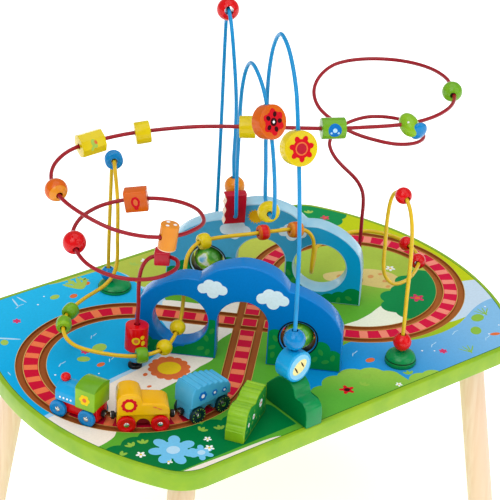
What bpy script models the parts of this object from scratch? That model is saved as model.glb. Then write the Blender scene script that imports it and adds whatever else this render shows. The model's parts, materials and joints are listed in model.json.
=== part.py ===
# Train table: a printed board on four splayed legs, with a grooved figure-eight track, two
# bridges, a coupled train and three bead wires that stand on the board.
# The legs stand on z = 0, the board's middle is over the origin and +X runs along the board.

import bisect
import math

import bmesh
import bpy
from mathutils import Matrix, Vector

MM = 0.001
GAP = 0.0003  # between pieces that touch

# Board
TABLE_LENGTH = 0.621
TABLE_WIDTH = 0.414
TABLE_HEIGHT = 0.280
BOARD_THICKNESS = 0.022
END_BOW = 0.072  # how far an end bulges past the straight sides
CORNER_RADIUS = 0.049
LEG_DIAMETER = 0.030
LEG_INSET_END = 0.1015
LEG_INSET_SIDE = 0.049
LEG_SPLAY = 0.17  # sideways run for each metre of height

# Track
TRACK_RADIUS = 0.116
GROOVE_SPACING = 0.026
GROOVE_WIDTH = 0.008
GROOVE_DEPTH = 0.003

# Bridges
BRIDGE_OFFSET = 0.0643  # crossing of the track to the near face of a bridge
BRIDGE_THICKNESS = 0.022
REAR_BRIDGE_SLIDE = -0.0025  # along its own face, away from its globe
TUNNEL_WIDTH = 0.058
TUNNEL_SPRING = 0.049
WINDOW_RADIUS = 0.0315
WINDOW_PLACE = (-0.0705, 0.0465)
GLOBE_PLACE = (0.0635, 0.039)
GLOBE_RADIUS = 0.017
GLOBE_CLEARANCE = 0.003
GLOBE_PIN_RADIUS = 0.0025
PIN_PLAY = 0.0005

# Scenery
SCENERY_THICKNESS = 0.022
BUSH_LEFT = -0.083
BUSH_HEIGHT = 0.043  # where the blue wire ends on it
HILL_CORNER = (-0.156, -0.191)
HILL_ANGLE = 32.2

# Wires and beads
WIRE_DIAMETER = 0.0045
BEAD_BORE = 0.0075
FOOT_DIAMETER = 0.016
FOOT_HEIGHT = 0.004
DOME_LEFT = dict(diameter=0.040, height=0.0095, off_centre=0.008)
DOME_RIGHT = dict(diameter=0.036, height=0.016, off_centre=0.0)

# Train
WHEEL_DIAMETER = 0.020
WHEEL_THICKNESS = 0.0045
AXLE_DIAMETER = 0.0035
AXLE_PLAY = 0.0005
WHEELBASE = 0.036
CAR_LENGTH = 0.056
CAR_WIDTH = 0.029
CAB_WIDTH = 0.031
CHASSIS_WIDTH = 0.0205
CHASSIS_FLOOR = 0.0045
BODY_FLOOR = 0.0186
COUPLER_DIAMETER = 0.009
COUPLER_REACH = 0.0346  # middle of a car to the face of its magnet
COUPLER_HEIGHT = 0.0110
ENGINE_ANGLE = 204.0
CAR_PITCH = 35.5

LOOP_CENTRE_X = TRACK_RADIUS * math.sqrt(2)
BOARD_TOP = TABLE_HEIGHT

COLOURS = {
    "lime": "#A4CC1E", "beech": "#D9A566", "royal_blue": "#0068B4", "sky_blue": "#35A6DC",
    "dark_green": "#00843A", "leaf_green": "#6CB52D", "red": "#D7141E", "orange": "#F08A1C",
    "yellow": "#F4D000", "wire_red": "#B01428", "wire_blue": "#1287C8", "wire_yellow": "#F0C81E",
    "teal": "#0E5A5A", "light_blue": "#3CA5DC", "amber": "#F5B400",
}


# Materials and object helpers

def linear(hex_colour):
    channels = [int(hex_colour[i:i + 2], 16) / 255 for i in (1, 3, 5)]
    return [c / 12.92 if c <= 0.04045 else ((c + 0.055) / 1.055) ** 2.4 for c in channels] + [1.0]


def paint(name):
    material = bpy.data.materials.get(name) or bpy.data.materials.new(name)
    material.use_nodes = True
    shader = material.node_tree.nodes["Principled BSDF"]
    shader.inputs["Base Color"].default_value = linear(COLOURS[name])
    shader.inputs["Roughness"].default_value = 0.45 if name == "beech" else 0.25
    shader.inputs["Metallic"].default_value = 0.0
    return material


def add_object(name, data, colour=None, matrix=None, cutter=False):
    piece = bpy.data.objects.new(name, data)
    (cutters if cutter else parts).objects.link(piece)
    if matrix is not None:
        piece.matrix_world = matrix
    if cutter:
        piece.hide_render = True
        piece.display_type = "WIRE"
    else:
        data.materials.append(paint(colour))
    return piece


def from_bmesh(name, shape, smooth=True):
    bmesh.ops.recalc_face_normals(shape, faces=shape.faces)
    mesh = bpy.data.meshes.new(name)
    shape.to_mesh(mesh)
    shape.free()
    if smooth:
        mesh.shade_smooth()
        mesh.set_sharp_from_angle(angle=math.radians(35))
    return mesh


def evaluated_mesh(piece, name):
    # The shape of a curve, or of an object with modifiers, as one welded mesh
    graph = bpy.context.evaluated_depsgraph_get()
    mesh = bpy.data.meshes.new_from_object(piece.evaluated_get(graph))
    mesh.name = name
    shape = bmesh.new()
    shape.from_mesh(mesh)
    bmesh.ops.remove_doubles(shape, verts=shape.verts, dist=1e-6)
    bmesh.ops.recalc_face_normals(shape, faces=shape.faces)
    shape.to_mesh(mesh)
    shape.free()
    return mesh


def settle(piece):
    # Replaces an object by its evaluated mesh, under the same name and matrix
    name, matrix = piece.name, piece.matrix_world.copy()
    materials = [slot.material for slot in piece.material_slots]
    collection = piece.users_collection[0]
    mesh = evaluated_mesh(piece, name)
    bpy.data.objects.remove(piece)
    settled = bpy.data.objects.new(name, mesh)
    collection.objects.link(settled)
    settled.matrix_world = matrix
    if not mesh.materials:
        for material in materials:
            mesh.materials.append(material)
    if collection == cutters:
        settled.hide_render = True
        settled.display_type = "WIRE"
    mesh.shade_smooth()
    mesh.set_sharp_from_angle(angle=math.radians(35))
    return settled


def combine(piece, tool, operation):
    modifier = piece.modifiers.new(tool.name, "BOOLEAN")
    modifier.object = tool
    modifier.operation = operation
    modifier.solver = "EXACT"


def plate(name, outline, thickness, colour=None, matrix=None, holes=(), cutter=False):
    # A flat outline in the local XY plane, extruded to both sides of it
    curve = bpy.data.curves.new(name, "CURVE")
    curve.dimensions = "2D"
    curve.fill_mode = "BOTH"
    curve.extrude = thickness / 2
    for points in (outline, *holes):
        spline = curve.splines.new("POLY")
        spline.points.add(len(points) - 1)
        for target, point in zip(spline.points, points):
            target.co = (point[0], point[1], 0, 1)
        spline.use_cyclic_u = True
    piece = add_object(name, curve, colour, matrix, cutter)
    return settle(piece)


def rod(name, points, diameter, colour):
    # A round wire along a polyline, with closed ends
    curve = bpy.data.curves.new(name, "CURVE")
    curve.dimensions = "3D"
    curve.bevel_depth = diameter / 2
    curve.bevel_resolution = 2
    curve.use_fill_caps = True
    spline = curve.splines.new("POLY")
    spline.points.add(len(points) - 1)
    for target, point in zip(spline.points, points):
        target.co = (*point, 1)
    return settle(add_object(name, curve, colour))


def turned_mesh(name, profile, segments):
    # A closed profile in the local XZ plane, turned about local Z
    shape = bmesh.new()
    corners = [shape.verts.new((radius, 0, height)) for radius, height in profile]
    for first, second in zip(corners, corners[1:] + corners[:1]):
        if first.co.x > 1e-7 or second.co.x > 1e-7:
            shape.edges.new((first, second))
    mesh = bpy.data.meshes.new(name)
    shape.to_mesh(mesh)
    shape.free()
    holder = bpy.data.objects.new(name, mesh)
    cutters.objects.link(holder)
    screw = holder.modifiers.new("turn", "SCREW")
    screw.axis = "Z"
    screw.angle = math.tau
    screw.steps = screw.render_steps = segments
    screw.use_merge_vertices = True
    screw.merge_threshold = 1e-5
    bpy.context.view_layer.update()
    turned = evaluated_mesh(holder, name)
    bpy.data.objects.remove(holder)
    turned.shade_smooth()
    turned.set_sharp_from_angle(angle=math.radians(35))
    return turned


def cylinder(name, diameter, length, matrix, segments=16):
    # A plain cutter or add-on along local Z, centred
    shape = bmesh.new()
    bmesh.ops.create_cone(shape, cap_ends=True, segments=segments, radius1=diameter / 2,
                          radius2=diameter / 2, depth=length)
    return add_object(name, from_bmesh(name, shape), matrix=matrix, cutter=True)


# Curves and frames

def arc(centre, radius, start, end, steps):
    # Points of an arc, angles in degrees
    turn = [math.radians(start + (end - start) * i / steps) for i in range(steps + 1)]
    return [(centre[0] + radius * math.cos(t), centre[1] + radius * math.sin(t)) for t in turn]


def spline_point(p0, p1, p2, p3, t):
    # Catmull-Rom curve with knots spaced by the root of each chord
    knots = [0.0]
    for a, b in ((p0, p1), (p1, p2), (p2, p3)):
        knots.append(knots[-1] + max((b - a).length, 1e-9) ** 0.5)
    t = knots[1] + t * (knots[2] - knots[1])
    row = [p0, p1, p2, p3]
    for level in (1, 2, 3):
        row = [row[i] * ((knots[i + level] - t) / (knots[i + level] - knots[i]))
               + row[i + 1] * ((t - knots[i]) / (knots[i + level] - knots[i]))
               for i in range(4 - level)]
    return row[0]


def smooth_through(points, steps):
    # A smooth open curve through points, with equal steps between each two
    points = [Vector(p) for p in points]
    padded = [2 * points[0] - points[1], *points, 2 * points[-1] - points[-2]]
    curve = []
    for p0, p1, p2, p3 in zip(padded, padded[1:], padded[2:], padded[3:]):
        curve += [spline_point(p0, p1, p2, p3, i / steps) for i in range(steps)]
    return curve + [points[-1]]


def thin_out(curve, turn=16.0, longest=0.060):
    # Keeps points where the curve has turned by some degrees or run far since the last one
    kept = [curve[0]]
    heading = curve[1] - curve[0]
    run = 0.0
    for before, here, after in zip(curve, curve[1:], curve[2:]):
        run += (here - before).length
        if math.degrees(heading.angle(after - here)) > turn or run > longest:
            kept.append(here)
            heading = after - here
            run = 0.0
    return kept + [curve[-1]]


def frame_along(point, direction, facing=(0, 0, 1)):
    # Local Z follows direction, local X is as near to facing as that allows
    z_axis = Vector(direction).normalized()
    x_axis = Vector(facing) - Vector(facing).dot(z_axis) * z_axis
    if x_axis.length < 0.05:
        x_axis = z_axis.orthogonal()
    x_axis.normalize()
    y_axis = z_axis.cross(x_axis)
    matrix = Matrix((x_axis, y_axis, z_axis)).transposed().to_4x4()
    matrix.translation = point
    return matrix


def upright(x, y, z, heading):
    # A frame at a point, turned about the vertical by heading in degrees
    return Matrix.Translation((x, y, z)) @ Matrix.Rotation(math.radians(heading), 4, "Z")


STAND_UP = Matrix.Rotation(math.pi / 2, 4, "X")  # local Y becomes height


# Board and legs

def board_outline():
    half_length, half_width = TABLE_LENGTH / 2, TABLE_WIDTH / 2
    end_radius = (half_width ** 2 + END_BOW ** 2) / (2 * END_BOW)
    reach = math.sqrt((end_radius - CORNER_RADIUS) ** 2 - (half_width - CORNER_RADIUS) ** 2)
    end_centre = half_length - end_radius
    corner = (end_centre + reach, half_width - CORNER_RADIUS)
    bend = math.degrees(math.atan2(corner[1], reach))
    quarter = arc((end_centre, 0), end_radius, 0, bend, 7) + arc(corner, CORNER_RADIUS, bend, 90, 6)[1:]
    half = quarter + [(-x, y) for x, y in reversed(quarter)]
    return half + [(-x, -y) for x, y in half[1:-1]]


LOOP_STEPS = 40


def track_band(radius_in, radius_out, start):
    # The left loop between two radii, with both straight ends stopping short of the crossing
    diagonal = math.sqrt(0.5)
    centre = (-LOOP_CENTRE_X, 0)
    inner = TRACK_RADIUS - radius_in
    outer = radius_out - TRACK_RADIUS
    upper = [((-start - side) * diagonal, (start - side) * diagonal) for side in (-outer, inner)]
    lower = [(x, -y) for x, y in reversed(upper)]
    outside = arc(centre, radius_out, 45, 315, LOOP_STEPS)
    inside = arc(centre, radius_in, 315, 45, LOOP_STEPS)
    return [upper[0]] + outside + [lower[1]] + [lower[0]] + inside + [upper[1]]


def groove_cutter():
    # Both grooves of the figure eight as one solid: its outer edge, and the islands left standing
    half_band = (GROOVE_SPACING - GROOVE_WIDTH) / 2
    half_track = (GROOVE_SPACING + GROOVE_WIDTH) / 2
    centre = (-LOOP_CENTRE_X, 0)
    tip = half_track * math.sqrt(2)
    left_edge = arc(centre, TRACK_RADIUS + half_track, 45, 315, LOOP_STEPS)
    outline = left_edge + [(0, -tip)] + [(-x, -y) for x, y in left_edge] + [(0, tip)]
    field = arc(centre, TRACK_RADIUS - half_track, 45, 315, LOOP_STEPS) + [(-tip, 0)]
    band = track_band(TRACK_RADIUS - half_band, TRACK_RADIUS + half_band, half_track)
    corner = half_band * math.sqrt(2)
    square = [(corner, 0), (0, corner), (-corner, 0), (0, -corner)]
    islands = [field, band, square] + [[(-x, -y) for x, y in island] for island in (field, band)]
    height = GROOVE_DEPTH * 2
    return plate("groove_cutter", outline, height, holes=islands, cutter=True,
                 matrix=Matrix.Translation((0, 0, BOARD_TOP)))


def make_board():
    middle = Matrix.Translation((0, 0, BOARD_TOP - BOARD_THICKNESS / 2))
    board = plate("tabletop", board_outline(), BOARD_THICKNESS, "lime", middle)
    combine(board, groove_cutter(), "DIFFERENCE")
    return board


def make_leg(name, side_x, side_y):
    top = Vector((side_x * (TABLE_LENGTH / 2 - LEG_INSET_END),
                  side_y * (TABLE_WIDTH / 2 - LEG_INSET_SIDE), BOARD_TOP - BOARD_THICKNESS - GAP))
    outward = Vector((top.x, top.y, 0)).normalized()
    slope = Vector((0, 0, 1)) - LEG_SPLAY * outward
    middle = top - slope * top.z / 2
    shape = bmesh.new()
    bmesh.ops.create_cone(shape, cap_ends=True, segments=24, radius1=LEG_DIAMETER / 2,
                          radius2=LEG_DIAMETER / 2, depth=top.z * 1.2,
                          matrix=frame_along(middle, slope))
    for height, normal in ((top.z, 1), (0, -1)):
        cut = bmesh.ops.bisect_plane(shape, geom=shape.verts[:] + shape.edges[:] + shape.faces[:],
                                     plane_co=(0, 0, height), plane_no=(0, 0, normal),
                                     clear_outer=True)
        rim = [e for e in cut["geom_cut"] if isinstance(e, bmesh.types.BMEdge)]
        bmesh.ops.holes_fill(shape, edges=rim)
    bmesh.ops.translate(shape, verts=shape.verts, vec=-top)
    add_object(name, from_bmesh(name, shape), "beech", Matrix.Translation(top))


# Bridges and scenery

def bridge_outline():
    # Seen from its outer side: window end at the left, arched tunnel in the middle
    window_hump = [(-122, 45), (-118, 66), (-107.5, 79.5), (-91, 92), (-67, 101), (-51, 100.5)]
    middle_hump = [(-51, 100.5), (-34, 114.6), (-14, 121.5), (0, 124), (20, 121), (38, 112), (50, 98)]
    globe_hump = [(50, 98), (62, 95), (86, 84), (104, 68), (113, 51)]
    crown = []
    for hump in (window_hump, middle_hump, globe_hump):
        crown += [p * MM for p in smooth_through(hump, 3)][:-1]
    half = TUNNEL_WIDTH / 2
    ends = (-0.122, 0.114)
    tunnel = arc((0, TUNNEL_SPRING), half, 0, 180, 16)
    foot = [(ends[1], 0), (half, 0)] + tunnel + [(-half, 0), (ends[0], 0)]
    return [tuple(p) for p in crown] + [(0.113, 0.051)] + foot


def make_bridge(name, heading, colour, slide=0.0):
    # The board, with its window, the globe's opening and the upright pin across that opening
    middle = BRIDGE_OFFSET + BRIDGE_THICKNESS / 2
    place = (upright(0, 0, BOARD_TOP + GAP, heading) @ STAND_UP @ Matrix.Translation((slide, 0, middle)))
    opening = GLOBE_RADIUS + GLOBE_CLEARANCE
    holes = [arc(WINDOW_PLACE, WINDOW_RADIUS, 0, 360, 28)[:-1],
             arc(GLOBE_PLACE, opening, 0, 360, 24)[:-1]]
    bridge = plate(name, bridge_outline(), BRIDGE_THICKNESS, colour, place, holes)
    globe_middle = place @ Matrix.Translation((*GLOBE_PLACE, 0)) @ STAND_UP.inverted()
    pin = cylinder(name + "_pin", GLOBE_PIN_RADIUS * 2, opening * 2 + 0.006, globe_middle, 12)
    combine(bridge, pin, "UNION")
    return globe_middle


def ball_profile(radius, bore, rows=8):
    flat = math.degrees(math.asin(bore / radius))
    angles = [math.radians(flat + (180 - 2 * flat) * i / rows) for i in range(rows + 1)]
    return [(radius * math.sin(a), radius * math.cos(a)) for a in angles]


def make_globe(name, colour, place):
    bore = GLOBE_PIN_RADIUS + PIN_PLAY
    mesh = turned_mesh(name, ball_profile(GLOBE_RADIUS, bore), 20)
    add_object(name, mesh, colour, place)


def scenery(name, bottom_start, crown, bottom_end, colour, place):
    outline = [bottom_start] + [tuple(p * MM) for p in smooth_through(crown, 3)] + [bottom_end]
    plate(name, outline, SCENERY_THICKNESS, colour, place)


def make_scenery():
    # The bush runs along +Y towards the viewer's edge, the hill stands at an angle to it
    bush_crown = [(135, 20), (144, 30), (156, 41), (166, 43), (174, 43), (182, 37), (186, 28),
                  (198, 27), (204, 22), (206, 12)]
    bush_place = upright(BUSH_LEFT + SCENERY_THICKNESS / 2, 0, BOARD_TOP + GAP, -90) @ STAND_UP
    scenery("bush_block", (0.135, 0), bush_crown, (0.206, 0), "dark_green", bush_place)
    hill_crown = [(0, 12), (2.5, 20), (5, 29), (9, 34), (17, 36), (27, 33), (37, 33), (46, 37),
                  (57, 36.5), (64, 37), (68.5, 31), (69, 20)]
    hill_place = (upright(*HILL_CORNER, BOARD_TOP + GAP, HILL_ANGLE) @ STAND_UP
                  @ Matrix.Translation((0, 0, -SCENERY_THICKNESS / 2)))
    scenery("hill_block", (0, 0), hill_crown, (0.069, 0), "lime", hill_place)


# Train

def car_frame(index):
    # Middle of a car at the board's face: local X to the front, local Y away from the loop's middle
    angle = math.radians(ENGINE_ANGLE + CAR_PITCH * index)
    radius = math.sqrt(TRACK_RADIUS ** 2 - (WHEELBASE / 2) ** 2)
    place = Matrix.Translation((radius * math.cos(angle) - LOOP_CENTRE_X,
                                radius * math.sin(angle), BOARD_TOP))
    return place @ Matrix.Rotation(angle - math.pi / 2, 4, "Z")


def side_profile(name, outline, width, frame, colour=None, y=0.0):
    # An outline of length and height, extruded across the car
    cutter = colour is None
    return plate(name, outline, width, colour, frame @ Matrix.Translation((0, y, 0)) @ STAND_UP,
                 cutter=cutter)


def end_profile(name, outline, front, rear, frame):
    # An outline of width and height, extruded along the car
    turn = Matrix.Rotation(math.pi / 2, 4, "Z") @ STAND_UP
    middle = Matrix.Translation(((front + rear) / 2, 0, 0))
    return plate(name, outline, front - rear, matrix=frame @ middle @ turn, cutter=True)


def arched(half_width, floor, eaves, rise, steps=8):
    # A vaulted section: upright sides and a roof that rises above the eaves
    radius = (half_width ** 2 + rise ** 2) / (2 * rise)
    swing = math.degrees(math.asin(half_width / radius))
    roof = arc((0, eaves + rise - radius), radius, 90 - swing, 90 + swing, steps)
    return [(-half_width, floor), (half_width, floor)] + roof


def smooth_side(points):
    return [tuple(p * MM) for p in smooth_through(points, 3)]


def chassis(name, front, rear, arch_radius, colour, frame):
    # The narrow part between the wheels, with the axle holes and an arch between them
    top = BODY_FLOOR + 0.002
    outline = [(rear, top), (rear, CHASSIS_FLOOR)]
    if arch_radius:
        outline += arc((0, CHASSIS_FLOOR), arch_radius, 180, 0, 10)
    outline += [(front, CHASSIS_FLOOR), (front, top)]
    axle_height = WHEEL_DIAMETER / 2 - GROOVE_DEPTH + GAP
    bore = AXLE_DIAMETER / 2 + AXLE_PLAY
    holes = [arc((x, axle_height), bore, 0, 360, 12)[:-1] for x in (-WHEELBASE / 2, WHEELBASE / 2)]
    return plate(name, outline, CHASSIS_WIDTH, colour, frame @ STAND_UP, holes)


def add_coupler(car, frame, end):
    # A round coupler with its magnet, from inside the car's end to the magnet's face
    inside = CAR_LENGTH / 2 - 0.006
    length = COUPLER_REACH - inside
    place = (frame @ Matrix.Translation((end * (inside + length / 2), 0, COUPLER_HEIGHT))
             @ Matrix.Rotation(math.pi / 2, 4, "Y"))
    tool = cylinder(f"{car.name}_coupler_{'front' if end > 0 else 'rear'}", COUPLER_DIAMETER,
                    length, place, 12)
    combine(car, tool, "UNION")


def make_engine(frame):
    front, rear = 0.024, -CAR_LENGTH / 2 - 0.001
    split = -0.004  # where the cab ends and the boiler starts
    engine = chassis("engine", front, rear, None, "red", frame)
    low = BODY_FLOOR
    boiler = arched(CAR_WIDTH / 2 - 0.001, low, low + 0.009, 0.0125)
    combine(engine, end_profile("boiler", boiler, front - 0.0015, split - 0.002, frame), "UNION")
    cab = arched(CAB_WIDTH / 2, low + 0.0004, low + 0.0250, 0.0045)
    combine(engine, end_profile("cab", cab, split, rear, frame), "UNION")
    knob_place = frame @ Matrix.Translation((0.0170, 0, low + 0.0190))
    mesh = turned_mesh("knob", [(0, 0.010), (0.004, 0.0085), (0.0055, 0.0048), (0.004, 0.0012),
                                (0.004, -0.004), (0, -0.004)], 12)
    combine(engine, add_object("knob", mesh, matrix=knob_place, cutter=True), "UNION")
    add_coupler(engine, frame, -1)


def make_amber_car(frame):
    # A high rounded head over the front wheels and a lower back
    half = CAR_LENGTH / 2
    low = BODY_FLOOR / MM
    back = [(-28, low + 2), (-27, 27), (-22, 31.5), (-10, 33), (1, 34)]
    head = [(1, 34), (4, 42), (10, 45.5), (18, 46), (25, 43.5), (28, 37), (28, low + 2)]
    outline = [(-half, BODY_FLOOR)] + smooth_side(back)[:-1] + smooth_side(head) + [(half, BODY_FLOOR)]
    car = chassis("amber_car", half, -half, 0.0075, "amber", frame)
    combine(car, side_profile("amber_body", outline, CAR_WIDTH, frame), "UNION")
    add_coupler(car, frame, 1)
    add_coupler(car, frame, -1)


def make_ribbed_car(frame):
    # A back with shallow ribs across it, high at the front
    half = CAR_LENGTH / 2
    ribs = 6
    crest = [(-half, BODY_FLOOR), (-half, 0.029)]
    for i in range(ribs * 4 + 1):
        share = i / (ribs * 4)
        height = 0.035 + 0.0085 * math.sin(share * math.pi * 0.62) + 0.0007 * math.cos(share * ribs * math.tau)
        crest.append((-half + 0.004 + share * (CAR_LENGTH - 0.008), height))
    crest += [(half, 0.036), (half, BODY_FLOOR)]
    car = chassis("ribbed_car", half, -half, 0.0075, "light_blue", frame)
    combine(car, side_profile("ribbed_body", crest, CAR_WIDTH, frame), "UNION")
    add_coupler(car, frame, 1)
    add_coupler(car, frame, -1)


def make_wheels(car_name, frame, colour):
    # Two wheels and their axle, turned as one piece, at each end of a car
    radius = WHEEL_DIAMETER / 2
    middle = math.sqrt((TRACK_RADIUS + GROOVE_SPACING / 2) ** 2 - (WHEELBASE / 2) ** 2)
    middle -= math.sqrt(TRACK_RADIUS ** 2 - (WHEELBASE / 2) ** 2)
    inner, outer = middle - WHEEL_THICKNESS / 2, middle + WHEEL_THICKNESS / 2
    axle = AXLE_DIAMETER / 2
    half = [(0, outer + 0.0009), (0.0028, outer + 0.0006), (0.0034, outer), (radius - 0.0008, outer),
            (radius, outer - 0.0008), (radius, inner), (axle, inner)]
    profile = half + [(r, -y) for r, y in reversed(half)]
    axle_height = radius - GROOVE_DEPTH + GAP
    for end, x in (("front", WHEELBASE / 2), ("rear", -WHEELBASE / 2)):
        name = f"{car_name}_{end}_wheels"
        place = frame @ Matrix.Translation((x, 0, axle_height)) @ STAND_UP
        add_object(name, turned_mesh(name, profile, 16), colour, place)


def make_train():
    for index, (make_car, name, wheels) in enumerate((
            (make_engine, "engine", "wire_blue"), (make_amber_car, "amber_car", "red"),
            (make_ribbed_car, "ribbed_car", "teal"))):
        frame = car_frame(index)
        make_car(frame)
        make_wheels(name, frame, wheels)


# Wires: points that each one is bent through, in millimetres from the middle of the board's face

YELLOW_ROUTE = [
    (-94, 157, 0), (-94, 157, 60), (-93, 156, 140), (-97, 149, 172), (-107, 131, 187),
    (-118, 111, 178), (-122, 100, 150), (-122, 99, 100), (-123, 98, 70), (-130, 95, 58),
    (-147, 90, 51), (-171, 89, 45), (-196, 83, 39), (-215, 68, 36), (-226, 46, 33),
    (-226, 27, 32), (-219, 11, 32), (-206, -7, 32), (-188, -22, 31), (-168, -31, 31),
    (-146, -32, 33), (-127, -23, 36), (-108, -8, 44), (-95, 5, 61), (-84, 19, 87),
    (-76, 25, 102), (-62, 28, 111), (-40, 27, 112), (4, 14, 111), (36, 5, 110), (66, -3, 107),
    (77, -6, 100), (83, -8, 88), (85, -6, 60), (90, 0, 40), (104, 14, 35), (123, 33, 34),
    (143, 53, 33), (170, 62, 31), (205, 64, 30), (228, 54, 30), (241, 38, 30), (248, 18, 30),
    (246, -2, 31), (238, -25, 33), (220, -48, 36), (184, -74, 42), (156, -88, 49),
    (133, -94, 58), (119, -94, 76), (116, -94, 115), (113, -97, 160), (109, -107, 188),
    (104, -126, 198), (100, -143, 189), (97, -154.5, 160), (93.5, -160, 90), (92.5, -161.5, 45), (92.5, -161.5, 0)]
BLUE_ROUTE = [
    (72, 164, 0), (73, 165, 120), (72, 164, 210), (67, 158, 275), (57, 145, 321),
    (45, 128, 342), (34, 107, 334), (28.5, 92, 302), (27, 81, 248), (26, 78, 204), (24, 76, 176),
    (25.5, 75, 149), (26, 74, 137), (24.5, 72, 127), (21, 69, 119), (17.5, 65, 114.5),
    (14.5, 59, 112.5), (12, 53, 113.5), (9.5, 48.5, 117), (7.5, 46, 125), (6, 45, 140),
    (4, 44, 180), (4, 44, 231), (2, 41, 280), (-3, 29, 313),
    (-9, 14, 328), (-18, -8, 329), (-25, -29, 318), (-29, -44, 298), (-30, -57, 260),
    (-30, -65, 215), (-29.5, -66, 190), (-28, -63.5, 179), (-24.5, -56.5, 173.5),
    (-18, -42.5, 172.5), (-13, -32, 174.5), (-10.3, -26.5, 181), (-9.3, -24, 193),
    (-9.2, -23, 212), (-10, -21, 245), (-11.4, -20, 310), (-15.6, -26.7, 344), (-24.3, -42.3, 375),
    (-36, -66, 397), (-45, -88, 394),
    (-53, -107, 382), (-62, -127, 360), (-70, -143, 325), (-75, -157, 270), (-76, -165, 200),
    (-76.5, -168, 141), (-77, -169.5, 90), (-76, -169.5, 43)]
RED_ROUTE = [
    (-165.5, -3, 0), (-165.3, -2.8, 20), (-163, -1.2, 45), (-160, 1, 80), (-160, 1, 108),
    (-157, -2, 128), (-150, -6, 137),
    (-141, -10, 138), (-134, -17, 138), (-132, -29, 139), (-141, -42, 139), (-158, -48, 139),
    (-178, -47, 139), (-200, -38, 141), (-216, -20, 143), (-225, 5, 146), (-222, 33, 150),
    (-209, 59, 156), (-190, 71, 163), (-166, 71, 170), (-141, 59, 176), (-118, 38, 181),
    (-104, 9, 186), (-101, -22, 189), (-112, -48, 190), (-135, -63, 194), (-165, -68, 197),
    (-196, -58, 201), (-222, -35, 207), (-237, -4, 214), (-242, 30, 219), (-232, 66, 222),
    (-213, 90, 226), (-187, 101, 231), (-157, 99, 235), (-124, 88, 240), (-92, 70, 245),
    (-56, 43, 251), (-20, 11, 255), (20, -19, 256), (60, -46, 256), (100, -66, 256),
    (140, -82, 256), (176, -85, 256), (208, -78, 256), (234, -62, 255), (253, -39, 255),
    (268, -13, 255), (274, 18, 254), (270, 52, 251), (257, 82, 247), (233, 106, 243),
    (205, 116, 239), (175, 108, 233), (151, 89, 226), (138, 63, 219), (138, 37, 213),
    (145, 8, 207), (160, -14, 203), (181, -28, 198), (207, -32, 194), (230, -23, 191),
    (246, -2, 188), (254, 28, 185), (248, 58, 181), (231, 79, 177), (205, 86, 172),
    (180, 80, 167), (163, 67, 162), (157, 48, 154), (159, 30, 146), (164, 16, 137),
    (169, 8, 122), (170, 6, 90), (170, 6, 0)]


def wire_curve(route, lift_start, lift_end):
    # The route as a smooth curve of few points, its ends lifted onto what they stand on
    points = [Vector(p) * MM + Vector((0, 0, BOARD_TOP)) for p in route]
    points[0].z = BOARD_TOP + lift_start
    points[-1].z = BOARD_TOP + lift_end
    return thin_out(smooth_through(points, 12))


def make_foot(name, point):
    # A round flange under a wire's end
    place = Matrix.Translation((point.x, point.y, BOARD_TOP + GAP + FOOT_HEIGHT / 2))
    return cylinder(name, FOOT_DIAMETER, FOOT_HEIGHT, place, 16)


def make_wires():
    curves = {"yellow": wire_curve(YELLOW_ROUTE, GAP, GAP),
              "blue": wire_curve(BLUE_ROUTE, GAP, BUSH_HEIGHT + 4 * GAP),
              "red": wire_curve(RED_ROUTE, GAP, GAP)}
    wires = {name: rod(f"{name}_wire", curve, WIRE_DIAMETER, f"wire_{name}")
             for name, curve in curves.items()}
    combine(wires["red"], make_foot("red_foot_left", curves["red"][0]), "UNION")
    combine(wires["red"], make_foot("red_foot_right", curves["red"][-1]), "UNION")
    combine(wires["blue"], make_foot("blue_foot", curves["blue"][0]), "UNION")
    return curves


def make_dome(name, wire_end, diameter, height, off_centre):
    # A low wooden dome that a wire's end stands in
    half = diameter / 2
    profile = [(0, height), (half * 0.45, height * 0.92), (half * 0.8, height * 0.68),
               (half * 0.97, height * 0.3), (half, height * 0.1), (half * 0.96, 0), (0, 0)]
    toward_right = Vector((math.cos(math.radians(-40)), math.sin(math.radians(-40)), 0))
    middle = Vector((wire_end.x, wire_end.y, BOARD_TOP + GAP)) + toward_right * off_centre
    dome = add_object(name, turned_mesh(name, profile, 24), "dark_green", Matrix.Translation(middle))
    hole = Matrix.Translation((wire_end.x, wire_end.y, BOARD_TOP + height / 2))
    combine(dome, cylinder(name + "_hole", WIRE_DIAMETER + 4 * GAP, height * 3, hole, 16), "DIFFERENCE")


# Beads: size is diameter and length along the wire, or width, height and length for a block

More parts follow.
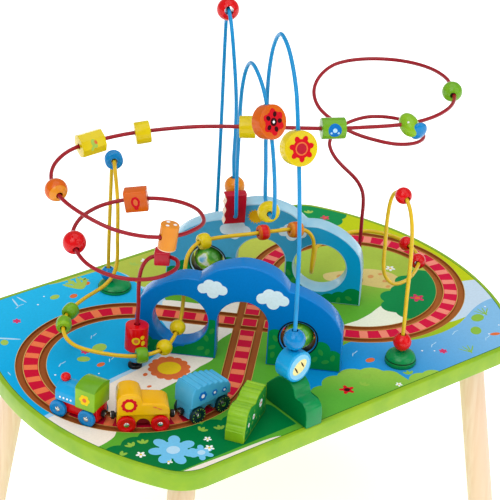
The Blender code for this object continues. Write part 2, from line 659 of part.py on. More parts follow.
BEADS = {
    "rear_foot_ball": dict(wire="yellow", at=(-94, 157, 19.8), shape="ball", size=18, colour="wire_blue"),
    "blue_top_bead": dict(wire="yellow", at=(-107, 131, 188), shape="double", size=(21, 15), colour="wire_blue"),
    "green_bead_rear": dict(wire="yellow", at=(-197, 82, 39), shape="oval", size=(18, 15), colour="leaf_green"),
    "green_bead_front": dict(wire="yellow", at=(-216, 66.5, 36), shape="oval", size=(18, 15), colour="leaf_green"),
    "lime_bead": dict(wire="yellow", at=(-175, -29, 31), shape="oval", size=(18, 13), colour="lime"),
    "yellow_bead_low": dict(wire="yellow", at=(-146, -32, 33), shape="ball", size=18, colour="yellow"),
    "yellow_bead_high": dict(wire="yellow", at=(-116, -15, 40), shape="ball", size=18, colour="yellow"),
    "yellow_bead_window": dict(wire="yellow", at=(-52, 28, 112), shape="oval", size=(19, 13), colour="yellow"),
    "red_spool": dict(wire="yellow", at=(20, 10, 110), shape="oval", size=(18, 13), colour="red"),
    "orange_spool": dict(wire="yellow", at=(59.5, -1.3, 108), shape="oval", size=(19, 16), colour="orange"),
    "red_bead_rear": dict(wire="yellow", at=(247, 3, 31), shape="ball", size=18, colour="red"),
    "red_bead_front": dict(wire="yellow", at=(223, -44, 36), shape="ball", size=19, colour="red"),
    "red_top_ball": dict(wire="yellow", at=(103, -128, 198), shape="ball", size=19, colour="red"),
    "red_foot_ball": dict(wire="yellow", at=(92.5, -161.5, 27.3), shape="ball", size=21, colour="red"),
    "red_peak_ball": dict(wire="blue", at=(45, 128, 342), shape="ball", size=26, colour="red",
                          bore=0.0105),
    "orange_drop_ball": dict(wire="blue", at=(26, 74, 141), shape="ball", size=24, colour="orange"),
    "red_wave_tile": dict(wire="blue", at=(14.5, 59, 112.5), shape="tile", size=(26, 39, 11), colour="red"),
    "orange_disc": dict(wire="blue", at=(-29.2, -47, 287), shape="disc", size=(38, 15), facing=(0.05, -1, 0),
                        colour="orange"),
    "yellow_drop_bead": dict(wire="blue", at=(-18.5, -43.5, 172.5), shape="oval", size=(25, 12), colour="yellow",
                             bore=0.0085),
    "yellow_disc": dict(wire="blue", at=(-71.7, -147.6, 309), shape="disc", size=(37, 15), facing=(-0.25, -0.97, 0),
                        colour="yellow"),
    "blue_ball": dict(wire="blue", at=(-77, -169.5, 92.4), shape="ball", size=24, colour="wire_blue"),
    "blue_disc": dict(wire="blue", at=(-76, -169.5, 62), shape="disc", size=(36, 20), facing=(0.1, -1, 0),
                      colour="light_blue"),
    "sky_foot_ball": dict(wire="red", at=(-165.2, -2.7, 13.2), shape="ball", size=17, colour="light_blue"),
    "red_cylinder": dict(wire="red", at=(-163.3, -1.4, 37.6), shape="cylinder", size=(26, 30), colour="red"),
    "red_block": dict(wire="red", at=(-139, -12, 138), shape="block", size=(16, 16, 17), colour="red"),
    "red_loop_ball": dict(wire="red", at=(-218, 44, 152), shape="ball", size=26, colour="red"),
    "orange_block": dict(wire="red", at=(-131, 51, 178), shape="block", size=(25, 16, 26), colour="orange"),
    "orange_barrel": dict(wire="red", at=(-172, -67, 198), shape="disc", size=(20, 29), facing=(0, 0, 1),
                          colour="orange"),
    "orange_loop_ball": dict(wire="red", at=(-238, 48, 220.5), shape="ball", size=25, colour="orange"),
    "yellow_prism": dict(wire="red", at=(-160.5, 99, 235), shape="prism", size=(27, 28), colour="yellow"),
    "yellow_cylinder": dict(wire="red", at=(-106, 78, 243), shape="cylinder", size=(25, 17), colour="yellow"),
    "yellow_middle_bead": dict(wire="red", at=(-14.5, 7, 255), shape="cylinder", size=(25, 18), colour="yellow"),
    "green_cylinder": dict(wire="red", at=(63, -48, 256), shape="cylinder", size=(24, 27), colour="leaf_green"),
    "lime_bug": dict(wire="red", at=(143.5, -82.5, 256), shape="bug", size=(22, 32), facing=(0, -1, -0.35),
                     colour="lime"),
    "green_loop_ball": dict(wire="red", at=(248.5, -43.5, 255), shape="ball", size=24, colour="leaf_green"),
}


def bead_profile(shape, diameter, length, bore_diameter):
    # Profiles run from the bore at the top, down the outside, to the bore at the bottom
    radius, half, bore = diameter / 2, length / 2, bore_diameter / 2
    if shape == "ball":
        return ball_profile(radius, bore, 6)
    if shape == "oval":
        steps = [math.radians(90 - 180 * i / 6) for i in range(7)]
        barrel = [(bore + (radius - bore) * (0.35 + 0.65 * math.cos(a)), half * math.sin(a)) for a in steps]
        return [(bore, half)] + barrel + [(bore, -half)]
    if shape == "double":
        lobe = [(bore, half), (radius * 0.8, half * 0.96), (radius, half * 0.5), (radius * 0.86, half * 0.06)]
        return lobe + [(r, -y) for r, y in reversed(lobe)]
    rim = min(radius, half) * 0.12
    side = [(bore, half), (radius - rim, half), (radius, half - rim)]
    return side + [(r, -y) for r, y in reversed(side)]


def bore_through(piece, place, length, bore):
    combine(piece, cylinder(piece.name + "_bore", bore, length, place, 12), "DIFFERENCE")


def make_disc(name, place, diameter, thickness, colour, bore):
    # A disc or barrel that the wire crosses through its rim
    profile = bead_profile("cylinder", diameter, thickness, bore)
    solid = [(0, thickness / 2)] + profile[1:-1] + [(0, -thickness / 2)]
    lie = Matrix.Rotation(math.pi / 2, 4, "Y")
    disc = add_object(name, turned_mesh(name, solid, 22), colour, place @ lie)
    mesh = disc.data
    mesh.transform(lie)
    disc.matrix_world = place
    bore_through(disc, place, diameter * 1.5, bore)


def make_block(name, place, height, depth, length, colour, bore, shift=0.0):
    # Local X is height and local Z runs along the wire; shift raises the block about its bore
    shape = bmesh.new()
    bmesh.ops.create_cube(shape, size=1.0)
    bmesh.ops.scale(shape, verts=shape.verts, vec=(height, depth, length))
    bmesh.ops.translate(shape, verts=shape.verts, vec=(shift, 0, 0))
    bmesh.ops.bevel(shape, geom=shape.edges[:], offset=0.0012, segments=1, profile=0.5,
                    affect="EDGES", material=-1)
    block = add_object(name, from_bmesh(name, shape), colour, place)
    bore_through(block, place, length * 1.5, bore)


def make_bug(name, place, diameter, length, colour, bore):
    # An egg-shaped body across the wire, with a flat pair of wings at its tail
    shape = bmesh.new()
    bmesh.ops.create_uvsphere(shape, u_segments=14, v_segments=8, radius=0.5)
    bmesh.ops.scale(shape, verts=shape.verts, vec=(length, diameter, diameter))
    body = add_object(name, from_bmesh(name, shape), colour, place)
    wings = bmesh.new()
    bmesh.ops.create_uvsphere(wings, u_segments=12, v_segments=6, radius=0.5)
    bmesh.ops.scale(wings, verts=wings.verts, vec=(length * 0.34, diameter * 1.1, diameter * 0.9))
    tail = place @ Matrix.Translation((length * 0.34, 0, diameter * 0.32))
    combine(body, add_object(name + "_wings", from_bmesh("wings", wings), matrix=tail, cutter=True), "UNION")
    bore_through(body, place, length * 1.5, bore)


def measure(curve):
    # Distance along the curve to each of its points
    distances = [0.0]
    for before, after in zip(curve, curve[1:]):
        distances.append(distances[-1] + (after - before).length)
    return distances


def point_at(curve, distances, distance):
    index = min(max(bisect.bisect_left(distances, distance), 1), len(curve) - 1)
    share = (distance - distances[index - 1]) / (distances[index] - distances[index - 1])
    return curve[index - 1].lerp(curve[index], share)


def nearest_distance(curve, distances, target):
    # Distance along the curve to the point of it that is nearest the target
    best = None
    for index, (start, end) in enumerate(zip(curve, curve[1:])):
        share = min(max((target - start).dot(end - start) / (end - start).length_squared, 0), 1)
        miss = (start.lerp(end, share) - target).length
        if best is None or miss < best[0]:
            best = (miss, distances[index] + share * (end - start).length)
    return best[1]


def seat_on(curve, target, length, facing):
    # A bead's frame: its bore follows the chord of the bent wire inside it, midway in the bow
    distances = measure(curve)
    distance = nearest_distance(curve, distances, target)
    start, middle, end = (point_at(curve, distances, distance + share * length) for share in (-0.5, 0, 0.5))
    return frame_along((start + end + 2 * middle) / 4, end - start, facing)


def make_bead(name, curve, at, shape, size, colour, facing=(0, 0, 1), bore=BEAD_BORE):
    sizes = [s * MM for s in (size if isinstance(size, tuple) else (size, size))]
    along = sizes[0] if shape == "disc" else sizes[-1]
    if shape == "bug":
        along = sizes[0]
    target = Vector(at) * MM + Vector((0, 0, BOARD_TOP))
    place = seat_on(curve, target, along, facing)
    if shape == "disc":
        make_disc(name, place, *sizes, colour, bore)
    elif shape == "block":
        make_block(name, place, *sizes, colour, bore)
    elif shape == "tile":
        width, height, thickness = sizes
        make_block(name, place, height, width, thickness, colour, bore, shift=height * 0.26)
    elif shape == "bug":
        make_bug(name, place, *sizes, colour, bore)
    else:
        segments = 8 if shape == "prism" else 12
        mesh = turned_mesh(name, bead_profile(shape, *sizes, bore), segments)
        add_object(name, mesh, colour, place)


# Building

for old in list(bpy.data.objects):
    bpy.data.objects.remove(old)
parts = bpy.data.collections.new("train_table")
cutters = bpy.data.collections.new("cutters")
for group in (parts, cutters):
    bpy.context.scene.collection.children.link(group)

make_board()
for leg_name, leg_x, leg_y in (("leg_front_left", -1, -1), ("leg_front_right", 1, -1),
                               ("leg_rear_left", -1, 1), ("leg_rear_right", 1, 1)):
    make_leg(leg_name, leg_x, leg_y)
front_globe = make_bridge("front_bridge", -45, "royal_blue")
rear_globe = make_bridge("rear_bridge", 135, "sky_blue", REAR_BRIDGE_SLIDE)
make_globe("front_globe", "leaf_green", front_globe)
make_globe("rear_globe", "leaf_green", rear_globe)
make_scenery()
make_train()
wire_curves = make_wires()
make_dome("dome_foot_left", wire_curves["yellow"][0], **DOME_LEFT)
make_dome("dome_foot_right", wire_curves["yellow"][-1], **DOME_RIGHT)
for bead_name, bead in BEADS.items():
    details = dict(bead)
    make_bead(bead_name, wire_curves[details.pop("wire")], **details)
bpy.context.view_layer.update()
print(len(parts.objects), "pieces")
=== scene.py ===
# Train table: the painted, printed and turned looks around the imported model
# Lengths are in metres. Lists passed through inMm() and printed spots are in millimetres
import json
import math

import bmesh
import bpy
from mathutils import Matrix, Vector


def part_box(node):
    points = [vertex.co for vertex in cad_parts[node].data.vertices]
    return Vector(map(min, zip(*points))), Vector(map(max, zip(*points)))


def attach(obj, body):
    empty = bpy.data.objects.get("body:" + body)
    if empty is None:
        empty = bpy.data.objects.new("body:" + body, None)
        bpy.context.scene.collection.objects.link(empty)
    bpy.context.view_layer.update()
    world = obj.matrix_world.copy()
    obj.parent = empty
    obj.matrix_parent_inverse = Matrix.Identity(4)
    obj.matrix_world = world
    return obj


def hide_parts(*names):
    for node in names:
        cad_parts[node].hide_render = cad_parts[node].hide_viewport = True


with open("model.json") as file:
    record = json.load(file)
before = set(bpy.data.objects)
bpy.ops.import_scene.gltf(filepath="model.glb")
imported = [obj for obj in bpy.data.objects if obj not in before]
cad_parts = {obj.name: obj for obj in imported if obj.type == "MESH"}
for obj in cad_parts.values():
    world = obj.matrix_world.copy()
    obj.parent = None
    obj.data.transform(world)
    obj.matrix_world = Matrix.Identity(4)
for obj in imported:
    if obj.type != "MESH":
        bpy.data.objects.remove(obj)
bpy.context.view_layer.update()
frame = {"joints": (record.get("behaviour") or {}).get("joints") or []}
joints = {j["child"]: j for j in frame["joints"]}
mm = 0.001
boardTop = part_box("tabletop")[1].z
print("frame loaded, board at", round(boardTop, 4))


# Camera and light

camera = dict(place=(-1.18339, -1.43023, 1.13883 + 0.280), yaw=39.46, pitch=29.292, roll=3.436, lens=133.53)


def aimCamera():
    yaw, pitch, roll = (math.radians(camera[k]) for k in ("yaw", "pitch", "roll"))
    ahead = Vector((math.sin(yaw) * math.cos(pitch), math.cos(yaw) * math.cos(pitch), -math.sin(pitch)))
    side = Vector((math.cos(yaw), -math.sin(yaw), 0))
    up = side.cross(ahead)
    right = math.cos(roll) * side + math.sin(roll) * up
    top = right.cross(ahead)
    data = bpy.data.cameras.new("photoCamera")
    data.lens = camera["lens"]
    data.sensor_width = 36
    data.clip_end = 50
    eye = bpy.data.objects.new("photoCamera", data)
    turn = Matrix((right, top, -ahead)).transposed().to_4x4()
    eye.matrix_world = Matrix.Translation(camera["place"]) @ turn
    bpy.context.scene.collection.objects.link(eye)
    bpy.context.scene.camera = eye


def addLamp(name, place, spread, power):
    # A far, wide softbox: the same light everywhere, with soft shadows
    data = bpy.data.lights.new(name, "SUN")
    data.energy = power
    data.angle = math.radians(spread)
    lamp = bpy.data.objects.new(name, data)
    lamp.location = place
    lamp.rotation_euler = (-Vector(place)).to_track_quat("-Z", "Y").to_euler()
    bpy.context.scene.collection.objects.link(lamp)


studio = dict(world=0.40, key=0.95, fill=0.62, top=0.98)


def lightStudio():
    world = bpy.data.worlds.new("studio")
    world.use_nodes = True
    world.node_tree.nodes["Background"].inputs["Color"].default_value = (1, 1, 1, 1)
    world.node_tree.nodes["Background"].inputs["Strength"].default_value = studio["world"]
    bpy.context.scene.world = world
    addLamp("keyBox", (-1.5, -0.7, 1.9), 40, studio["key"])
    addLamp("fillBox", (0.7, -1.9, 1.3), 50, studio["fill"])
    addLamp("topBox", (0.1, 0.1, 2.0), 60, studio["top"])
    bpy.context.scene.view_settings.view_transform = "Standard"


# Materials

def toLinear(hexColour, share=1.0):
    channels = [int(hexColour[i:i + 2], 16) / 255 for i in (1, 3, 5)]
    return [share * (c / 12.92 if c <= 0.04045 else ((c + 0.055) / 1.055) ** 2.4) for c in channels] + [1.0]


def addNode(tree, kind, settings=None, output=0, **inputs):
    # Adds a node and gives back one output; an input that is a socket is linked, any other is set
    node = tree.nodes.new("ShaderNode" + kind)
    for key, value in (settings or {}).items():
        setattr(node, key, value)
    for key, value in inputs.items():
        target = node.inputs[int(key[1:])] if key[1:].isdigit() else node.inputs[key]
        if isinstance(value, bpy.types.NodeSocket):
            tree.links.new(value, target)
        else:
            target.default_value = value
    return node.outputs[output]


def startMaterial(name, roughness, coat=0.0, metallic=0.0, specular=0.5):
    material = bpy.data.materials.new(name)
    material.use_nodes = True
    tree = material.node_tree
    shader = tree.nodes["Principled BSDF"]
    for key, value in (("Roughness", roughness), ("Metallic", metallic), ("IOR", 1.5), ("Coat Weight", coat),
                       ("Coat Roughness", 0.08), ("Specular IOR Level", specular)):
        shader.inputs[key].default_value = value
    return material, tree, shader, addNode(tree, "TexCoord", output="Object")


def dress(tree, shader, colour, relief, strength, depth):
    # Links a colour and a relief of this depth, in metres, to the shader
    tree.links.new(colour, shader.inputs["Base Color"])
    bump = addNode(tree, "Bump", Strength=strength, Distance=depth, Height=relief)
    tree.links.new(bump, shader.inputs["Normal"])


rgba = dict(data_type="RGBA")
enamelDepth, wireDepth, shadeShare = 0.84, 0.86, 0.9


def enamel(name, colour, shade=None, roughness=0.22):
    # Sprayed enamel on turned wood: even colour, a wet shine and the faintest orange peel
    material, tree, shader, place = startMaterial(name + "Enamel", roughness, 0.08, specular=0.26)
    cloud = addNode(tree, "TexNoise", Vector=place, Scale=45.0, Detail=3.0)
    tone = addNode(tree, "MapRange", Value=cloud, i1=0.30, i2=0.70)
    first = toLinear(colour, enamelDepth)
    second = toLinear(shade, enamelDepth) if shade else toLinear(colour, enamelDepth * shadeShare)
    peel = addNode(tree, "TexNoise", Vector=place, Scale=700.0, Detail=2.0)
    dress(tree, shader, addNode(tree, "Mix", rgba, 2, i0=tone, i6=first, i7=second), peel, 0.05, 0.0002)
    rough = addNode(tree, "MapRange", Value=cloud, i1=0.3, i2=0.7, i3=roughness * 0.85, i4=roughness * 1.2)
    tree.links.new(rough, shader.inputs["Roughness"])
    return material


def printedFilm(name, near, far=None, along=(0, 1, 0), span=(-0.2, 0.2), roughness=0.38):
    # Offset print under varnish: a soft blend from one ink to the other and a satin shine
    material, tree, shader, place = startMaterial(name + "Ink", roughness, specular=0.05)
    grain = addNode(tree, "TexNoise", Vector=place, Scale=420.0, Detail=2.0)
    reach = addNode(tree, "VectorMath", dict(operation="DOT_PRODUCT"), "Value", i0=place, i1=along)
    soft = dict(interpolation_type="SMOOTHSTEP")
    share = addNode(tree, "MapRange", soft, Value=reach, i1=span[0], i2=span[1])
    blend = addNode(tree, "Mix", rgba, 2, i0=share, i6=toLinear(near), i7=toLinear(far or near))
    speck = addNode(tree, "MapRange", Value=grain, i1=0.35, i2=0.75)
    dark = addNode(tree, "Mix", rgba, 2, i0=0.07, i6=blend, i7=(0, 0, 0, 1))
    dress(tree, shader, addNode(tree, "Mix", rgba, 2, i0=speck, i6=blend, i7=dark), grain, 0.04, 0.0001)
    return material


def coatedWire(name, colour):
    # Steel wire dipped in vinyl: thick, slightly soft gloss
    material, tree, shader, place = startMaterial(name + "Vinyl", 0.34, 0.06, specular=0.3)
    drip = addNode(tree, "TexNoise", Vector=place, Scale=60.0, Detail=2.0)
    tone = addNode(tree, "MapRange", Value=drip, i1=0.35, i2=0.70)
    coat = addNode(tree, "Mix", rgba, 2, i0=tone, i6=toLinear(colour, wireDepth),
                   i7=toLinear(colour, wireDepth * 0.88))
    dress(tree, shader, coat, drip, 0.10, 0.0003)
    return material


def beechWood(name, pale, dark):
    # Planed and lacquered beech: fine upright grain with short dark flecks
    material, tree, shader, place = startMaterial(name + "Beech", 0.42, 0.1)
    long = addNode(tree, "Mapping", Vector=place, Scale=(1.0, 1.0, 0.055))
    grain = addNode(tree, "TexNoise", Vector=long, Scale=230.0, Detail=5.0, Distortion=0.4)
    broad = addNode(tree, "TexNoise", Vector=long, Scale=45.0, Detail=2.0)
    tone = addNode(tree, "MapRange", Value=grain, i1=0.38, i2=0.68)
    base = addNode(tree, "Mix", rgba, 2, i0=tone, i6=toLinear(pale), i7=toLinear(dark))
    wide = addNode(tree, "MapRange", Value=broad, i1=0.35, i2=0.7)
    wood = addNode(tree, "Mix", rgba, 2, i0=wide, i6=base, i7=toLinear("#E8C8A8"))
    dress(tree, shader, wood, grain, 0.12, 0.0002)
    return material


def platedSteel(name):
    # Nickel-plated steel: mirror bright with fine turning marks
    material, tree, shader, place = startMaterial(name, 0.18, metallic=1.0)
    marks = addNode(tree, "TexNoise", Vector=place, Scale=900.0, Detail=2.0)
    tone = addNode(tree, "MapRange", Value=marks, i1=0.3, i2=0.7)
    metal = addNode(tree, "Mix", rgba, 2, i0=tone, i6=toLinear("#E4E2DC"), i7=toLinear("#B9B6AE"))
    dress(tree, shader, metal, marks, 0.06, 0.0001)
    return material


def worldBall(name):
    # Enamel ball sprayed in blots of greens, sky and white
    material, tree, shader, place = startMaterial(name, 0.20, 0.4)
    blots = addNode(tree, "TexNoise", Vector=place, Scale=58.0, Detail=2.5)
    colour = addNode(tree, "ValToRGB", Fac=blots)
    stops = ((0.0, "#0F8A3C"), (0.42, "#4FA62C"), (0.50, "#9CCB2E"), (0.56, "#E9F2DC"), (0.62, "#7CC6E8"),
             (0.72, "#1F96D0"))
    elements = colour.node.color_ramp.elements
    while len(elements) < len(stops):
        elements.new(0.5)
    for element, (at, shade) in zip(elements, stops):
        element.position = at
        element.color = toLinear(shade)
    dress(tree, shader, colour, blots, 0.05, 0.0002)
    return material


enamels = dict(
    lime=("#A2C81C", "#8CBC22", 0.34), limeDark=("#76B414", "#68A81A"), limePale=("#98CC1C", "#88C020"),
    royal=("#0088DC", "#0084DA", 0.22), sky=("#BCEBFF", "#A2DEFA", 0.22), darkGreen=("#009A50", "#008C48"),
    forest=("#00502C", "#004426", 0.34), leafGreen=("#80BC20", "#70B020", 0.18),
    red=("#F00410", "#E0040C", 0.16), crimson=("#CC1030", "#BC0C28", 0.2), maroon=("#8C1020", "#7A0C1A", 0.3),
    orange=("#EA6A00", "#E06200", 0.18), orangePale=("#F29A24", "#EC8C1C", 0.2),
    yellow=("#F0D800", "#E6CA00", 0.18), blue=("#0090D8", "#0086CE", 0.16),
    brightBlue=("#14B0EC", "#0CA6E6", 0.18), lightBlue=("#56BEE8", "#46B2E2", 0.2),
    paleBlue=("#5CBCE8", "#48B0E2", 0.2), amber=("#FFC404", "#FAB800", 0.2), white=("#FAFAF6",),
    teal=("#0A3A40", "#063036", 0.25), black=("#0C0C0E", "#121214", 0.3))
paint = {key: enamel(key, *look) for key, look in enamels.items()}
paint.update(steel=platedSteel("nickelPlate"), beech=beechWood("lacquered", "#ECD0B4", "#E4C09C"),
             rawBeech=beechWood("raw", "#FBE6D0", "#F2CCB0"), globe=worldBall("blottedEnamel"),
             wireRed=coatedWire("red", "#A80A20"), wireBlue=coatedWire("blue", "#009ADC"),
             wireYellow=coatedWire("yellow", "#F2C818"))
inks = dict(
    land=("#5AA832", "#C0CE14", (1, 0.35, 0), (-0.06, 0.28)),
    lawn=("#60AE34", "#B0CC4C", (0.6, 1, 0), (0.02, 0.16)),
    meadow=("#B4C44C", "#C0CA50", (1, 0, 0), (-0.15, 0.2)),
    water=("#00A6E0", "#24BAEE", (0.1, 1, 0), (-0.05, 0.20)),
    waterRight=("#0890D6", "#84BEE8", (1, 0, 0), (0.03, 0.27)), river=("#F0F4DC", "#E6EEDC"),
    shore=("#A8D4F0", "#C6DCEE", (1, 0, 0), (-0.3, 0.3)),
    sand=("#F2E8DA", "#F6EEE2", (1, 0.4, 0), (-0.26, 0.02)),
    tan=("#DCC878", "#E4D088", (0, 1, 0), (-0.05, 0.05)), tanSpot=("#D89A58", "#E0A868"),
    bush=("#00743A", "#10904E", (0.3, 1, 0), (-0.2, 0.1)),
    bushPale=("#5AAC38", "#9CC84A", (1, 1, 0), (-0.20, -0.08)),
    hill=("#0C7C3A", "#2C9038", (0, 0, 1), (0.28, 0.32)),
    bushDark=("#008444", "#008C4A", (0, 0, 1), (0.28, 0.33)), bushSpot=("#2C9440", "#3CA048"),
    leaf=("#8CBC44", "#A8C85A"), track=("#CC0C34", "#D41442", (1, 0, 0), (-0.25, 0.25)),
    sleeper=("#F07C4C", "#F4907C", (1, 0, 0), (-0.2, 0.25)),
    # The gold ink below draws the rail lines beside the grooves and also paints the highlight of the lit
    # groove edges
    groove=("#9C5426", "#A8622E", (1, 0, 0), (-0.2, 0.25), 0.5), gold=("#C8A050", "#D8B464"),
    seam=("#2E6E1E", "#5C8E20", (0, 1, 0), (-0.2, 0.2)), white=("#F4F8FA",),
    cloud=("#DCF6FF", "#E2F6FF", (0, 0, 1), (0.3, 0.42)), pink=("#D8386A",), coral=("#E0703A",),
    sun=("#F4C420", "#E8B414", (0, 0, 1), (0.3, 0.4)), yellow=("#F0CC1E",), red=("#D01422",),
    dark=("#3A0C10",), blue=("#1272C4",), sky=("#6CC0EC", "#8CD0F2", (1, 0, 0), (-0.3, 0)), pale=("#B4DCF4",),
    cream=("#F2E6A0",), royalFace=("#0072C2", "#007CCC", (0, 0, 1), (0.28, 0.41), 0.30),
    skyFace=("#4CB2DE", "#04A0D6", (0.7071, -0.7071, 0), (-0.02, 0.12), 0.30))
ink = {key: printedFilm(key, *look) for key, look in inks.items()}
print("materials made")


# Shapes

def move(x, y=0.0, z=0.0):
    return Matrix.Translation((x, y, z))


def spun(degrees, axis="Z"):
    return Matrix.Rotation(math.radians(degrees), 4, axis)


standUp = spun(90, "X")


def polar(reach, degrees):
    return reach * math.cos(math.radians(degrees)), reach * math.sin(math.radians(degrees))


def arcPoints(centre, radius, start, end, steps):
    spots = [polar(radius, start + (end - start) * i / steps) for i in range(steps + 1)]
    return [(centre[0] + x, centre[1] + y) for x, y in spots]


def inMm(points):
    return [tuple(c * mm for c in p) for p in points]


def splinePoint(p0, p1, p2, p3, t):
    # Catmull-Rom curve with knots spaced by the root of each chord
    knots = [0.0]
    for a, b in ((p0, p1), (p1, p2), (p2, p3)):
        knots.append(knots[-1] + max((b - a).length, 1e-9) ** 0.5)
    t = knots[1] + t * (knots[2] - knots[1])
    row = [p0, p1, p2, p3]
    for level in (1, 2, 3):
        row = [row[i] * ((knots[i + level] - t) / (knots[i + level] - knots[i]))
               + row[i + 1] * ((t - knots[i]) / (knots[i + level] - knots[i]))
               for i in range(4 - level)]
    return row[0]


def smoothThrough(points, steps, closed=False):
    points = [Vector(p) for p in points]
    if closed:
        padded = [points[-1], *points, points[0], points[1]]
    else:
        padded = [2 * points[0] - points[1], *points, 2 * points[-1] - points[-2]]
    curve = []
    for p0, p1, p2, p3 in zip(padded, padded[1:], padded[2:], padded[3:]):
        curve += [splinePoint(p0, p1, p2, p3, i / steps) for i in range(steps)]
    return curve if closed else curve + [points[-1]]


def carve(data, tool=None, operation="DIFFERENCE"):
    # The finished mesh of a curve or mesh, less a tool in the same frame, or combined with it
    helpers = [bpy.data.objects.new("helper", one) for one in (data, tool) if one is not None]
    for one in helpers:
        bpy.context.scene.collection.objects.link(one)
    if tool is not None:
        change = helpers[0].modifiers.new("carve", "BOOLEAN")
        change.operation, change.solver, change.object = operation, "EXACT", helpers[1]
    bpy.context.view_layer.update()
    mesh = bpy.data.meshes.new_from_object(helpers[0].evaluated_get(bpy.context.evaluated_depsgraph_get()))
    for one in helpers:
        bpy.data.objects.remove(one)
    return mesh


def curveMesh(lines, closed, **settings):
    data = bpy.data.curves.new("curve", "CURVE")
    for key, value in settings.items():
        setattr(data, key, value)
    for line in lines:
        spline = data.splines.new("POLY")
        spline.points.add(len(line) - 1)
        for point, place in zip(spline.points, line):
            point.co = (*Vector(place).to_3d(), 1)
        spline.use_cyclic_u = closed
    mesh = carve(data)
    bpy.data.curves.remove(data)
    return mesh


def meshOf(body):
    mesh = bpy.data.meshes.new("mesh")
    bmesh.ops.recalc_face_normals(body, faces=body.faces)
    body.to_mesh(mesh)
    body.free()
    return mesh


def plateMesh(outlines, thickness, rounding=0.0, roundSteps=2):
    # Flat outlines filled and thickened about local Z; later outlines inside the first are holes
    body = bmesh.new()
    body.from_mesh(curveMesh(outlines, True, dimensions="2D", fill_mode="BOTH", bevel_depth=rounding,
                             extrude=thickness / 2 - rounding, bevel_resolution=roundSteps, offset=-rounding))
    bmesh.ops.remove_doubles(body, verts=body.verts, dist=1e-6)
    bmesh.ops.dissolve_degenerate(body, edges=body.edges, dist=1e-7)
    return meshOf(body)


def addPiece(name, mesh, material, body="table", place=None, smooth=35, replaces=()):
    # One finished piece: its place goes into its mesh, and it rides on a body of the frame
    mesh.name = name
    if place is not None:
        mesh.transform(place)
    several = isinstance(material, list)
    indices = [polygon.material_index if several else 0 for polygon in mesh.polygons]
    mesh.materials.clear()
    for one in (material if several else [material]):
        mesh.materials.append(one)
    mesh.polygons.foreach_set("material_index", indices)
    mesh.shade_smooth()
    mesh.set_sharp_from_angle(angle=math.radians(smooth))
    piece = bpy.data.objects.new(name, mesh)
    bpy.context.scene.collection.objects.link(piece)
    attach(piece, body)
    if replaces:
        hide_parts(*replaces)


def turned(profile, segments):
    # Spins a profile of (radius, height) about local Z into a closed mesh
    body = bmesh.new()
    points = [body.verts.new((r, 0, z)) for r, z in profile]
    edges = [body.edges.new(pair) for pair in zip(points, points[1:])]
    bmesh.ops.spin(body, geom=points + edges, cent=(0, 0, 0), axis=(0, 0, 1), angle=math.tau,
                   steps=segments, use_merge=True)
    bmesh.ops.remove_doubles(body, verts=body.verts, dist=1e-6)
    return meshOf(body)


def joined(meshes):
    # Several meshes as one, each keeping its own material index
    body = bmesh.new()
    for index, mesh in enumerate(meshes):
        first = len(body.faces)
        body.from_mesh(mesh)
        body.faces.ensure_lookup_table()
        for face in body.faces[first:]:
            face.material_index = index
    result = bpy.data.meshes.new("joined")
    body.to_mesh(result)
    body.free()
    return result


hair = 0.0000015


def blots(spots, places, high, low=0.0, sides=24):
    # Round printed spots: x, y, width and length in millimetres and the turn in degrees, on the local
    # XY plane of each place. Each is a hair higher than the last, so that no two faces meet
    body = bmesh.new()
    for place in places:
        for i, (x, y, width, length, angle) in enumerate(spots):
            top = high + (i % 15) * hair
            size = Matrix.Diagonal((width * mm, length * mm, top - low, 1))
            spot = place @ move(x * mm, y * mm, (low + top) / 2) @ spun(angle) @ size
            bmesh.ops.create_cone(body, cap_ends=True, segments=sides, radius1=0.5, radius2=0.5, depth=1.0,
                                  matrix=spot)
    return meshOf(body)


def ringOf(x, y, reach, width, length, count, start=0):
    # Spots on a circle
    angles = [start + 360 * i / count for i in range(count)]
    return [(x + polar(reach, a)[0], y + polar(reach, a)[1], width, length, a) for a in angles]


def bothFaces(place, reach):
    # The two faces of an upright shape, each with local Z pointing away from its middle
    return [place @ Matrix.Diagonal((1, 1, side, 1)) @ move(0, 0, reach) for side in (1, -1)]


def frameAlong(point, direction, facing=(0, 0, 1)):
    # Local Z along the direction and local X as near to facing as it can be
    z = Vector(direction).normalized()
    x = Vector(facing) - Vector(facing).dot(z) * z
    if x.length < 1e-4:
        x = z.orthogonal()
    x.normalize()
    turn = Matrix((x, z.cross(x), z)).transposed().to_4x4()
    return move(*point) @ turn


# Board and track

board = dict(length=0.621, width=0.414, thickness=0.022, endBow=0.072, corner=0.049, rounding=0.0022,
             rim=0.0062, seam=0.0009)
track = dict(radius=0.116, spacing=0.026, groove=0.008, depth=0.003, line=0.0011, steps=100,
             sleeperLength=0.0150, sleeperWidth=0.0098, sleeperStep=12.0, sleeperStart=54.0)
level = dict(base=0.00003, field=0.00006, patch=0.00009, motif=0.00012, detail=0.00015, top=0.00018)
loopX = track["radius"] * math.sqrt(2)
half = math.sqrt(0.5)


def boardOutline(inset=0.0):
    halfLength, halfWidth = board["length"] / 2, board["width"] / 2
    endRadius = (halfWidth ** 2 + board["endBow"] ** 2) / (2 * board["endBow"])
    corner = board["corner"]
    reach = math.sqrt((endRadius - corner) ** 2 - (halfWidth - corner) ** 2)
    endCentre = halfLength - endRadius
    bend = math.degrees(math.atan2(halfWidth - corner, reach))
    quarter = arcPoints((endCentre, 0), endRadius - inset, 0, bend, 24)
    quarter += arcPoints((endCentre + reach, halfWidth - corner), corner - inset, bend, 90, 16)[1:]
    side = quarter + [(-x, y) for x, y in reversed(quarter)]
    return side + [(-x, -y) for x, y in side[1:-1]]


def mirrored(outline):
    return [(-x, -y) for x, y in outline]


